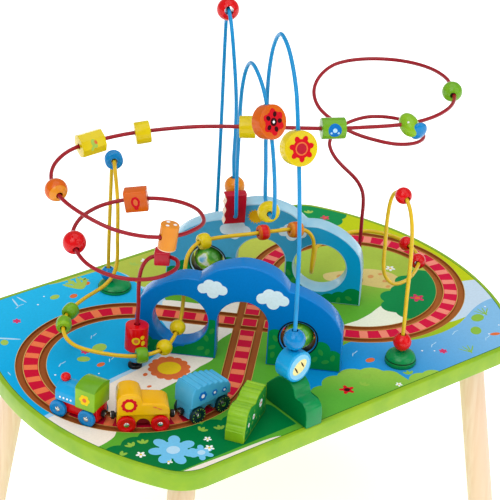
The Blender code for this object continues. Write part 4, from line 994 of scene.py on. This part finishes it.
beads = {
    "rear_foot_ball": dict(shape="ball", size=(18,), paint="blue"),
    "blue_top_bead": dict(shape="double", size=(21, 15), paint="blue"),
    "green_bead_rear": dict(shape="oval", size=(18, 15), paint="leafGreen", second="limeDark"),
    "green_bead_front": dict(shape="oval", size=(18, 15), paint="leafGreen", second="limePale"),
    "lime_bead": dict(shape="oval", size=(18, 13), paint="limeDark"),
    "yellow_bead_low": dict(shape="ball", size=(18,), paint="yellow"),
    "yellow_bead_high": dict(shape="ball", size=(18,), paint="yellow"),
    "yellow_bead_window": dict(shape="oval", size=(19, 13), paint="yellow"),
    "red_spool": dict(shape="oval", size=(18, 13), paint="red", second="orange"),
    "orange_spool": dict(shape="oval", size=(19, 16), paint="orange", second="orangePale"),
    "red_bead_rear": dict(shape="ball", size=(18,), paint="red"),
    "red_bead_front": dict(shape="ball", size=(19,), paint="red"),
    "red_top_ball": dict(shape="ball", size=(19,), paint="red"),
    "red_foot_ball": dict(shape="ball", size=(21,), paint="red"),
    "red_peak_ball": dict(shape="ball", size=(26,), bore=5.2, paint="red"),
    "orange_drop_ball": dict(shape="ball", size=(24,), bore=5.2, paint="orangePale"),
    "red_wave_tile": dict(shape="tile", size=(26, 39, 11), paint="crimson", edge="rawBeech"),
    "orange_disc": dict(shape="disc", size=(38, 15), facing=(0.05, -1, 0), paint="orange", onFace=dict(
        red=[(0, 0, 24, 24, 0), *ringOf(0, 0, 9, 12, 9, 6)],
        dark=[*ringOf(0, 0, 8.5, 6, 5, 5, 17.2), (0, 0, 9, 9, 0)], white=[(0, 0, 3.2, 3.2, 0)])),
    "yellow_drop_bead": dict(shape="oval", size=(25, 12), paint="yellow"),
    "yellow_disc": dict(shape="disc", size=(37, 15), facing=(-0.25, -0.97, 0), paint="yellow", onFace=dict(
        red=[(0, 0, 20, 20, 0), *ringOf(0, 0, 10, 8, 6, 7)], coral=[(0, 0, 14, 14, 0)],
        crimson=[(0, 0, 11, 11, 0)])),
    "blue_ball": dict(shape="ball", size=(24,), paint="blue"),
    "blue_disc": dict(shape="disc", size=(36, 20), facing=(0.1, -1, 0), paint="brightBlue", onFace=dict(
        sky=[(0, 0, 30, 30, 0)], cream=[(0, 0, 15, 22, 30)],
        dark=[(-2, 5, 10, 1.8, 30), (2, -4, 9, 1.8, 30)])),
    "sky_foot_ball": dict(shape="ball", size=(17,), paint="paleBlue"),
    "red_cylinder": dict(shape="cylinder", size=(26, 30), paint="red", onSide=(35, dict(
        yellow=[(0, -4, 9, 9, 0), (3, 4, 6, 5, 0), (-4, 3, 5, 5, 0)], coral=[(0, -4, 5, 5, 0)]))),
    "red_block": dict(shape="block", size=(16, 16, 17), paint="crimson"),
    "red_loop_ball": dict(shape="ball", size=(26,), paint="red"),
    "orange_block": dict(shape="block", size=(25, 16, 26), paint="orange", onBlock=dict(
        red=[(0, 0, 10, 14, 0), (0, 7, 5, 5, 0)], coral=[(0, 0, 5, 8, 0)])),
    "orange_barrel": dict(shape="disc", size=(20, 29), facing=(0, 0, 1), paint="orangePale", edge="rawBeech",
                          onFace=dict(white=[(0, 5, 4, 4, 0), (4.5, -3, 4, 4, 0), (-4.5, -3, 4, 4, 0)])),
    "orange_loop_ball": dict(shape="ball", size=(25,), paint="orange", second="orangePale"),
    "yellow_prism": dict(shape="prism", size=(27, 28), paint="yellow", onSide=(67.5, dict(
        leaf=[(0, 0, 6, 11, 20), (3, 5, 3, 5, -30)], coral=[(-2, -1, 3, 5, 20)]))),
    "yellow_cylinder": dict(shape="cylinder", size=(25, 17), paint="yellow"),
    "yellow_middle_bead": dict(shape="cylinder", size=(25, 18), paint="yellow"),
    "green_cylinder": dict(shape="cylinder", size=(24, 27), paint="leafGreen", onSide=(78, dict(
        blue=[(0, 0, 15, 15, 0)], pale=[(0, 0, 5, 5, 0), (4, 3, 2.4, 2.4, 0), (-4, 3, 2.4, 2.4, 0)]))),
    "lime_bug": dict(shape="bug", size=(22, 32), facing=(0, -1, -0.35), paint="limePale"),
    "green_loop_ball": dict(shape="ball", size=(24,), paint="leafGreen"),
}
beadBore = 0.0037


def drum(radius, reach, cut, start):
    # A profile from these points of the upper face round its edge, and the same below
    upper = start + arcPoints((radius - cut, reach - cut), cut, 90, 0, 4)
    return upper + [(r, -z) for r, z in reversed(upper)]


def beadProfile(shape, radius, reach, bore):
    if shape == "ball":
        return ballProfile(radius, bore)
    if shape == "oval":
        side = [polar(1, 90 - 180 * i / 16) for i in range(17)]
        side = [(bore + (radius - bore) * (0.42 + 0.58 * max(0, r) ** 0.7), reach * z) for r, z in side]
        outside = [(bore, reach), *side, (bore, -reach)]
    elif shape == "double":
        lobe = ((0.55, 1.0), (0.74, 0.96), (0.9, 0.84), (0.99, 0.66), (1.0, 0.5), (0.98, 0.34), (0.92, 0.18),
                (0.86, 0.06))
        upper = [(bore, 0.98 * reach)] + [(r * radius, z * reach) for r, z in lobe]
        outside = upper + [(r, -z) for r, z in reversed(upper)]
    else:
        edge = 0.0006 if shape == "prism" else 0.0012
        outside = drum(radius, reach, edge, [(bore, reach), (bore + 0.0008, reach)])
    return outside + [outside[0]]


def roundedBox(size):
    body = bmesh.new()
    bmesh.ops.create_cube(body, size=1.0, matrix=Matrix.Diagonal((*size, 1)))
    bmesh.ops.bevel(body, geom=body.edges[:], offset=0.0016, segments=3, profile=0.5, affect="EDGES",
                    material=-1)
    return meshOf(body)


def boreTool(length):
    return turned([(0, -length / 2), (beadBore, -length / 2), (beadBore, length / 2), (0, length / 2)], 20)


def inkOrPaint(colour):
    return ink.get(colour) or paint[colour]


def flatPrint(title, body, place, prints):
    # Round spots on the local XY plane, each ink a hair above the one before it
    for layer, (colour, spots) in enumerate(prints.items()):
        mesh = blots(spots, [place], 0.00008 * (layer + 1))
        addPiece(title + colour.capitalize() + "Print", mesh, inkOrPaint(colour), body)


def sidePrint(title, body, place, radius, turn, prints):
    # Spots wrapped round a turned bead: a thin shell cut by upright discs
    under, reach = radius - 0.0004, 0.02
    cutter = spun(turn) @ spun(90, "Y")
    for layer, (colour, spots) in enumerate(prints.items()):
        over = radius + 0.00008 * (layer + 1)
        shell = turned([(under, -reach), (over, -reach), (over, reach), (under, reach), (under, -reach)], 64)
        patches = [carve(shell, blots([spot], [cutter], radius * 2, sides=28), "INTERSECT") for spot in spots]
        addPiece(title + colour.capitalize() + "Print", joined(patches), inkOrPaint(colour), body, place)


def eggMesh(length, width, height, columns, rows):
    body = bmesh.new()
    bmesh.ops.create_uvsphere(body, u_segments=columns, v_segments=rows, radius=0.5,
                              matrix=Matrix.Diagonal((length, width, height, 1)))
    return meshOf(body)


def addWings(title, name, place, width, length):
    # The blue wings of the bug and the white dots on its back
    wings = eggMesh(length * 0.34, width * 1.1, width * 0.9, 32, 16)
    wings.transform(move(length * 0.34, 0, width * 0.32))
    addPiece(title + "Wings", wings, paint["blue"], name, place, smooth=60)
    dots = bmesh.new()
    for turn, tilt in ((-50, 28), (-35, -38), (-150, 15), (-20, -8), (40, 0), (140, 20)):
        across, ahead = polar(1, tilt)
        way = Vector((ahead * length / 2, *polar(across * width / 2, turn)))
        spot = frameAlong(way * 0.99, (way.x * 0.47, way.y, way.z)) @ Matrix.Diagonal((1, 1, 0.25, 1))
        bmesh.ops.create_uvsphere(dots, u_segments=14, v_segments=8, radius=0.0013, matrix=spot)
    addPiece(title + "Dots", meshOf(dots), paint["white"], name, place, smooth=60)


def beadMesh(data, size):
    shape, length = data["shape"], size[-1]
    if shape == "disc":
        mesh = turned(drum(size[0] / 2, length / 2, 0.0014, [(0, length / 2)]), 56)
        mesh.transform(spun(90, "Y"))
        return carve(mesh, boreTool(size[0] * 1.4))
    if shape == "block":
        return carve(roundedBox(size), boreTool(0.08))
    if shape == "tile":
        # An upright tile whose one side is cut in a wave
        deep, tall = size[:2]
        dips = [0.0009 * (1 - math.cos(math.tau * k / 8)) for k in range(25)]
        wave = [(tall * (0.5 - k / 24), deep / 2 - dip) for k, dip in enumerate(dips)]
        return plateMesh([[(-tall / 2, -deep / 2), (tall / 2, -deep / 2), *wave]], length, 0.0012, 3)
    if shape == "bug":
        return eggMesh(length, size[0], size[0], 40, 24)
    bore = data["bore"] * mm if "bore" in data else beadBore
    return turned(beadProfile(shape, size[0] / 2, length / 2, bore), 8 if shape == "prism" else 48)


def otherColour(polygon, data, size):
    # True on the ends of a two-colour bead and on the bare edge of a disc or a tile
    if "second" in data:
        return abs(polygon.center.z) > size[-1] * 0.275
    if data["shape"] == "disc":
        return polygon.center.x < -size[1] * 0.38
    return polygon.center.y > size[0] * 0.30 and abs(polygon.normal.z) < 0.7


def makeBead(name, data):
    shape, size = data["shape"], [s * mm for s in data["size"]]
    low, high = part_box(name)
    place = frameAlong((low + high) / 2, joints[name]["axis"], data.get("facing", (0, 0, 1)))
    first, *others = name.split("_")
    title = first + "".join(word.capitalize() for word in others)
    if shape == "bug":
        addWings(title, name, place, *size)
    mesh = beadMesh(data, size)
    materials = [paint[data[key]] for key in ("paint", "second", "edge") if key in data]
    if len(materials) > 1:
        for polygon in mesh.polygons:
            polygon.material_index = int(otherColour(polygon, data, size))
    addPiece(title, mesh, materials, name, place, replaces=[name],
             smooth=50 if shape in ("ball", "oval", "double", "bug") else 32)
    for side, word in ((1, "Front"), (-1, "Back")):
        if "onFace" in data and (side > 0 or "edge" not in data):
            face = move(side * size[1] / 2) @ spun(side * 90, "Y")
            flatPrint(title + word, name, place @ face, data["onFace"])
        if "onBlock" in data:
            face = move(0, side * size[1] / 2) @ spun(-side * 90, "X") @ spun(90)
            flatPrint(title + word, name, place @ face, data["onBlock"])
    if "onSide" in data:
        turn, prints = data["onSide"]
        if shape == "prism":
            face = spun(turn) @ spun(90, "Y") @ move(0, 0, size[0] / 2 * math.cos(math.pi / 8))
            flatPrint(title + "Side", name, place @ face, prints)
        else:
            sidePrint(title, name, place, size[0] / 2, turn, prints)


# Train

car = dict(wheel=0.020, wheelThickness=0.0045, axle=0.0035, wheelbase=0.036, length=0.056, width=0.029,
           cab=0.031, chassis=0.0205, floor=0.0045, bodyFloor=0.0186, coupler=0.009, reach=0.0346,
           couplerHeight=0.0110, firstAngle=204.0, pitch=35.5)


def carFrame(index):
    angle = car["firstAngle"] + car["pitch"] * index
    x, y = polar(math.sqrt(track["radius"] ** 2 - (car["wheelbase"] / 2) ** 2), angle)
    return move(x - loopX, y, boardTop) @ spun(angle - 90)


def sidePlate(outline, width, rounding):
    # Outline of length and height, thickened across the car
    mesh = plateMesh([outline], width, rounding, 3)
    mesh.transform(standUp)
    return mesh


def endPlate(outline, front, rear, rounding):
    # Outline of width and height, thickened along the car
    mesh = plateMesh([outline], front - rear, rounding, 3)
    mesh.transform(move((front + rear) / 2) @ spun(90) @ standUp)
    return mesh


def arched(halfWidth, floor, eaves, rise):
    radius = (halfWidth ** 2 + rise ** 2) / (2 * rise)
    swing = math.degrees(math.asin(halfWidth / radius))
    roof = arcPoints((0, eaves + rise - radius), radius, 90 - swing, 90 + swing, 20)
    return [(-halfWidth, floor), (halfWidth, floor)] + roof


def chassisMesh(front, rear, arch=None):
    floor, top = car["floor"], car["bodyFloor"] + 0.002
    opening = arcPoints((0, floor), arch, 180, 0, 20) if arch else []
    outline = [(rear, top), (rear, floor), *opening, (front, floor), (front, top)]
    return sidePlate(outline, car["chassis"], 0.0006)


def couplerMeshes(end):
    # A stem and the magnet on its tip, towards the front (1) or the rear (-1)
    inside, tip, radius = car["length"] / 2 - 0.006, car["reach"], car["coupler"] / 2
    stem = [(0, inside), (radius * 0.62, inside), (radius * 0.62, tip - 0.0052), (radius * 0.9, tip - 0.0046),
            (radius, tip - 0.0040), (radius, tip - 0.0012), (radius * 0.93, tip - 0.0008), (0, tip - 0.0008)]
    magnet = [(0, tip - 0.0009), (radius * 0.72, tip - 0.0009), (radius * 0.72, tip - 0.0003),
              (radius * 0.62, tip), (0, tip)]
    meshes = [turned(profile, 32) for profile in (stem, magnet)]
    for mesh in meshes:
        mesh.transform(move(0, 0, car["couplerHeight"]) @ spun(90 * end, "Y"))
    return meshes


def addParts(title, node, place, groups):
    # Each group is a suffix, its meshes and its paint; the first stands for the CAD node
    for index, (suffix, meshes, colour) in enumerate(groups):
        addPiece(title + suffix, joined(meshes), paint[colour], node, place,
                 replaces=[node] if index == 0 else ())


def printSides(title, node, place, flat, prints):
    # Spots on both sides of a car: each print is a suffix, its ink, its spots and its height
    for suffix, colour, spots, lift in prints:
        mesh = blots(spots, bothFaces(place @ standUp, flat * lift), 0.00015, -0.00015)
        addPiece(title + suffix, mesh, ink[colour], node)


def flowerPrints(flowers, petal, heart):
    petals = [s for x, z, size in flowers for s in ringOf(x, z, size * 0.32, size * 0.42, size * 0.42, 6)]
    hearts = [(x, z, size * 0.40, size * 0.40, 0) for x, z, size in flowers]
    return [("Petals", petal, petals, 1), ("Hearts", heart, hearts, 1.012)]


def makeEngine():
    place, low = carFrame(0), car["bodyFloor"]
    front, rear = 0.024, -car["length"] / 2 - 0.001
    flat, wall = car["cab"] / 2 + 0.0001, car["width"] / 2
    boiler = endPlate(arched(wall - 0.001, low, low + 0.009, 0.0105), front - 0.0015, -0.006, 0.0016)
    cab = endPlate(arched(car["cab"] / 2, low + 0.0004, low + 0.0250, 0.0045), -0.004, rear, 0.0016)
    shell = [(-flat, low + 0.0240), (flat, low + 0.0240)] + arched(flat, low, low + 0.0252, 0.0046)[2:]
    roof = endPlate(shell, -0.0042, rear - 0.0001, 0.0008)
    knob = turned([(0, 0.010), (0.0022, 0.0096), (0.0042, 0.0082), (0.0054, 0.0062), (0.0055, 0.0048),
                   (0.0050, 0.0030), (0.0040, 0.0012), (0.0036, 0.0), (0.0036, -0.004), (0, -0.004)], 32)
    knob.transform(move(0.0170, 0, low + 0.0170))
    stem, magnet = couplerMeshes(-1)
    addParts("engine", "engine", place, (
        ("Chassis", [chassisMesh(front, rear)], "red"), ("Boiler", [boiler], "brightBlue"),
        ("Cab", [cab], "limePale"), ("Roof", [roof], "limeDark"), ("Knob", [knob], "red"),
        ("Coupler", [stem], "black"), ("Magnet", [magnet], "steel")))
    printSides("engine", "engine", place, flat, flowerPrints([(-16.5, 31.1, 12.5)], "yellow", "coral"))
    dots = [(x, 23.1, 2.4, 2.4, 0) for x in (2, 6.5, 11, 15.5)]
    printSides("engine", "engine", place, wall - 0.0009, [("Dots", "white", dots, 1)])


def makeWagon(title, node, index, colour, hull, prints, extras=()):
    # The cars behind the engine: a hull on a chassis, with a coupler at each end
    place, reach = carFrame(index), car["length"] / 2
    stems, magnets = zip(*[couplerMeshes(end) for end in (1, -1)])
    addParts(title, node, place, (
        ("Chassis", [chassisMesh(reach, -reach, 0.0075)], colour), ("Hull", [hull], colour), *extras,
        ("Couplers", stems, "black"), ("Magnets", magnets, "steel")))
    printSides(title, node, place, car["width"] / 2 + 0.0001, prints)


def makeAmberCar():
    reach, low, floor = car["length"] / 2, car["bodyFloor"], car["floor"]
    back = smoothThrough(inMm([(-28, low / mm + 2), (-27, 27), (-22, 31.5), (-10, 33), (1, 34)]), 6)
    head = smoothThrough(inMm([(1, 34), (4, 42), (10, 45.5), (18, 46), (25, 43.5), (28, 37),
                               (28, low / mm + 2)]), 6)
    hull = sidePlate([(-reach, low), *back[:-1], *head, (reach, low)], car["width"], 0.0018)
    arch = sidePlate(arcPoints((0, floor), 0.0085, 180, 0, 20), car["chassis"] * 0.8, 0.0004)
    marks = [(x, z, 5.2, 1.4, 20) for x, z in ((-17, 26.8), (-12, 29.0))]
    prints = (("Petals", "red", ringOf(15.5, 32, 6.2, 5, 5, 10), 1),
              ("Hearts", "yellow", [(15.5, 32, 9.4, 9.4, 0)], 1.012), ("Marks", "coral", marks, 1))
    makeWagon("amberCar", "amber_car", 1, "amber", hull, prints, [("Arch", [arch], "maroon")])


def makeRibbedCar():
    reach, low = car["length"] / 2, car["bodyFloor"]
    ribs, steps = 6, 10
    crest = []
    for i in range(ribs * steps + 1):
        share = i / (ribs * steps)
        wave = 0.0007 * math.cos(share * ribs * math.tau)
        height = 0.035 + 0.0085 * math.sin(share * math.pi * 0.62) + wave
        crest.append((-reach + 0.004 + share * (car["length"] - 0.008), height))
    outline = [(-reach, low), (-reach, 0.029), *crest, (reach, 0.036), (reach, low)]
    flowers = ((13, 30.5, 11), (-4, 28.5, 7.5), (-18, 26.5, 6.5))
    makeWagon("ribbedCar", "ribbed_car", 2, "lightBlue",
              sidePlate(outline, car["width"], 0.0016), flowerPrints(flowers, "blue", "white"))


def bothEnds(profile, steps):
    # A turned shape and its copy on the other end of the axle
    meshes = [turned(profile, steps), turned(profile, steps)]
    meshes[1].transform(spun(180, "X"))
    return meshes


def makeWheels(carName, index, colour, treaded=False):
    radius, axle, shift = car["wheel"] / 2, car["axle"] / 2, car["wheelbase"] / 2
    middle = math.sqrt((track["radius"] + track["spacing"] / 2) ** 2 - shift ** 2)
    middle -= math.sqrt(track["radius"] ** 2 - shift ** 2)
    near, far = middle - car["wheelThickness"] / 2, middle + car["wheelThickness"] / 2
    rim = [(0.0014, far - 0.0008), (radius * 0.60, far - 0.0006), (radius * 0.68, far),
           (radius - 0.0009, far), (radius - 0.0003, far - 0.0003), (radius, far - 0.0009),
           (radius, near + 0.0006), (radius - 0.0006, near), (axle, near), (axle, far - 0.002),
           (0.0014, far - 0.0008)]
    hub = [(0, far + 0.0009), (0.0012, far + 0.0008), (0.0023, far + 0.0004), (0.0030, far - 0.0002),
           (0.0031, far - 0.0012), (0, far - 0.0012)]
    shaft = [(0, -near - 0.001), (axle, -near - 0.001), (axle, near + 0.001), (0, near + 0.001)]
    for end, x in (("front", shift), ("rear", -shift)):
        node = f"{carName}_{end}_wheels"
        title = carName.replace("_car", "Car") + end.capitalize()
        place = carFrame(index) @ move(x, 0, radius - track["depth"] + gap) @ standUp
        addParts(title, node, place, (("Wheels", bothEnds(rim, 40), colour),
                                            ("Hubs", bothEnds(hub, 28) + [turned(shaft, 20)], "steel")))
        if treaded:
            marks = ringOf(0, 0, radius * 0.83 / mm, 1.7, 1.4, 14)
            mesh = blots(marks, bothFaces(place, far + 0.00005), 0.0001, -0.0001, 8)
            addPiece(title + "Treads", mesh, ink["leaf"], node)


def makeTrain():
    makeEngine()
    makeAmberCar()
    makeRibbedCar()
    makeWheels("engine", 0, "blue")
    makeWheels("amber_car", 1, "red")
    makeWheels("ribbed_car", 2, "teal", treaded=True)


def makeFloor():
    # A seamless sheet of matt white paper
    body = bmesh.new()
    bmesh.ops.create_grid(body, x_segments=1, y_segments=1, size=12)
    mesh = meshOf(body)
    material, tree, shader, place = startMaterial("palePaper", 0.9)
    haze = addNode(tree, "TexNoise", Vector=place, Scale=0.6)
    paper = addNode(tree, "Mix", rgba, 2, i0=haze, i6=(1, 1, 1, 1), i7=(0.99, 0.99, 0.99, 1))
    tree.links.new(paper, shader.inputs["Base Color"])
    shader.inputs["Emission Color"].default_value = (1, 1, 1, 1)
    shader.inputs["Emission Strength"].default_value = 0.6
    mesh.materials.append(material)
    floor = bpy.data.objects.new("floor", mesh)
    bpy.context.scene.collection.objects.link(floor)


aimCamera()
lightStudio()
makeFloor()
makeBoard()
makeTrackPrint()
makeFields()
makeMotifs()
makeLegs()
print("board made")
window = makeBridge("front_bridge", -45, paint["royal"], ink["royalFace"])
makeGlobe("front_globe", window)
window = makeBridge("rear_bridge", 135, paint["sky"], ink["skyFace"], bridge["rearSlide"])
makeGlobe("rear_globe", window)
makeBlocks()
print("bridges and blocks made")
makeWires()
makeDomes()
for name, data in beads.items():
    makeBead(name, data)
print("wires and beads made")
makeTrain()
print("train made")
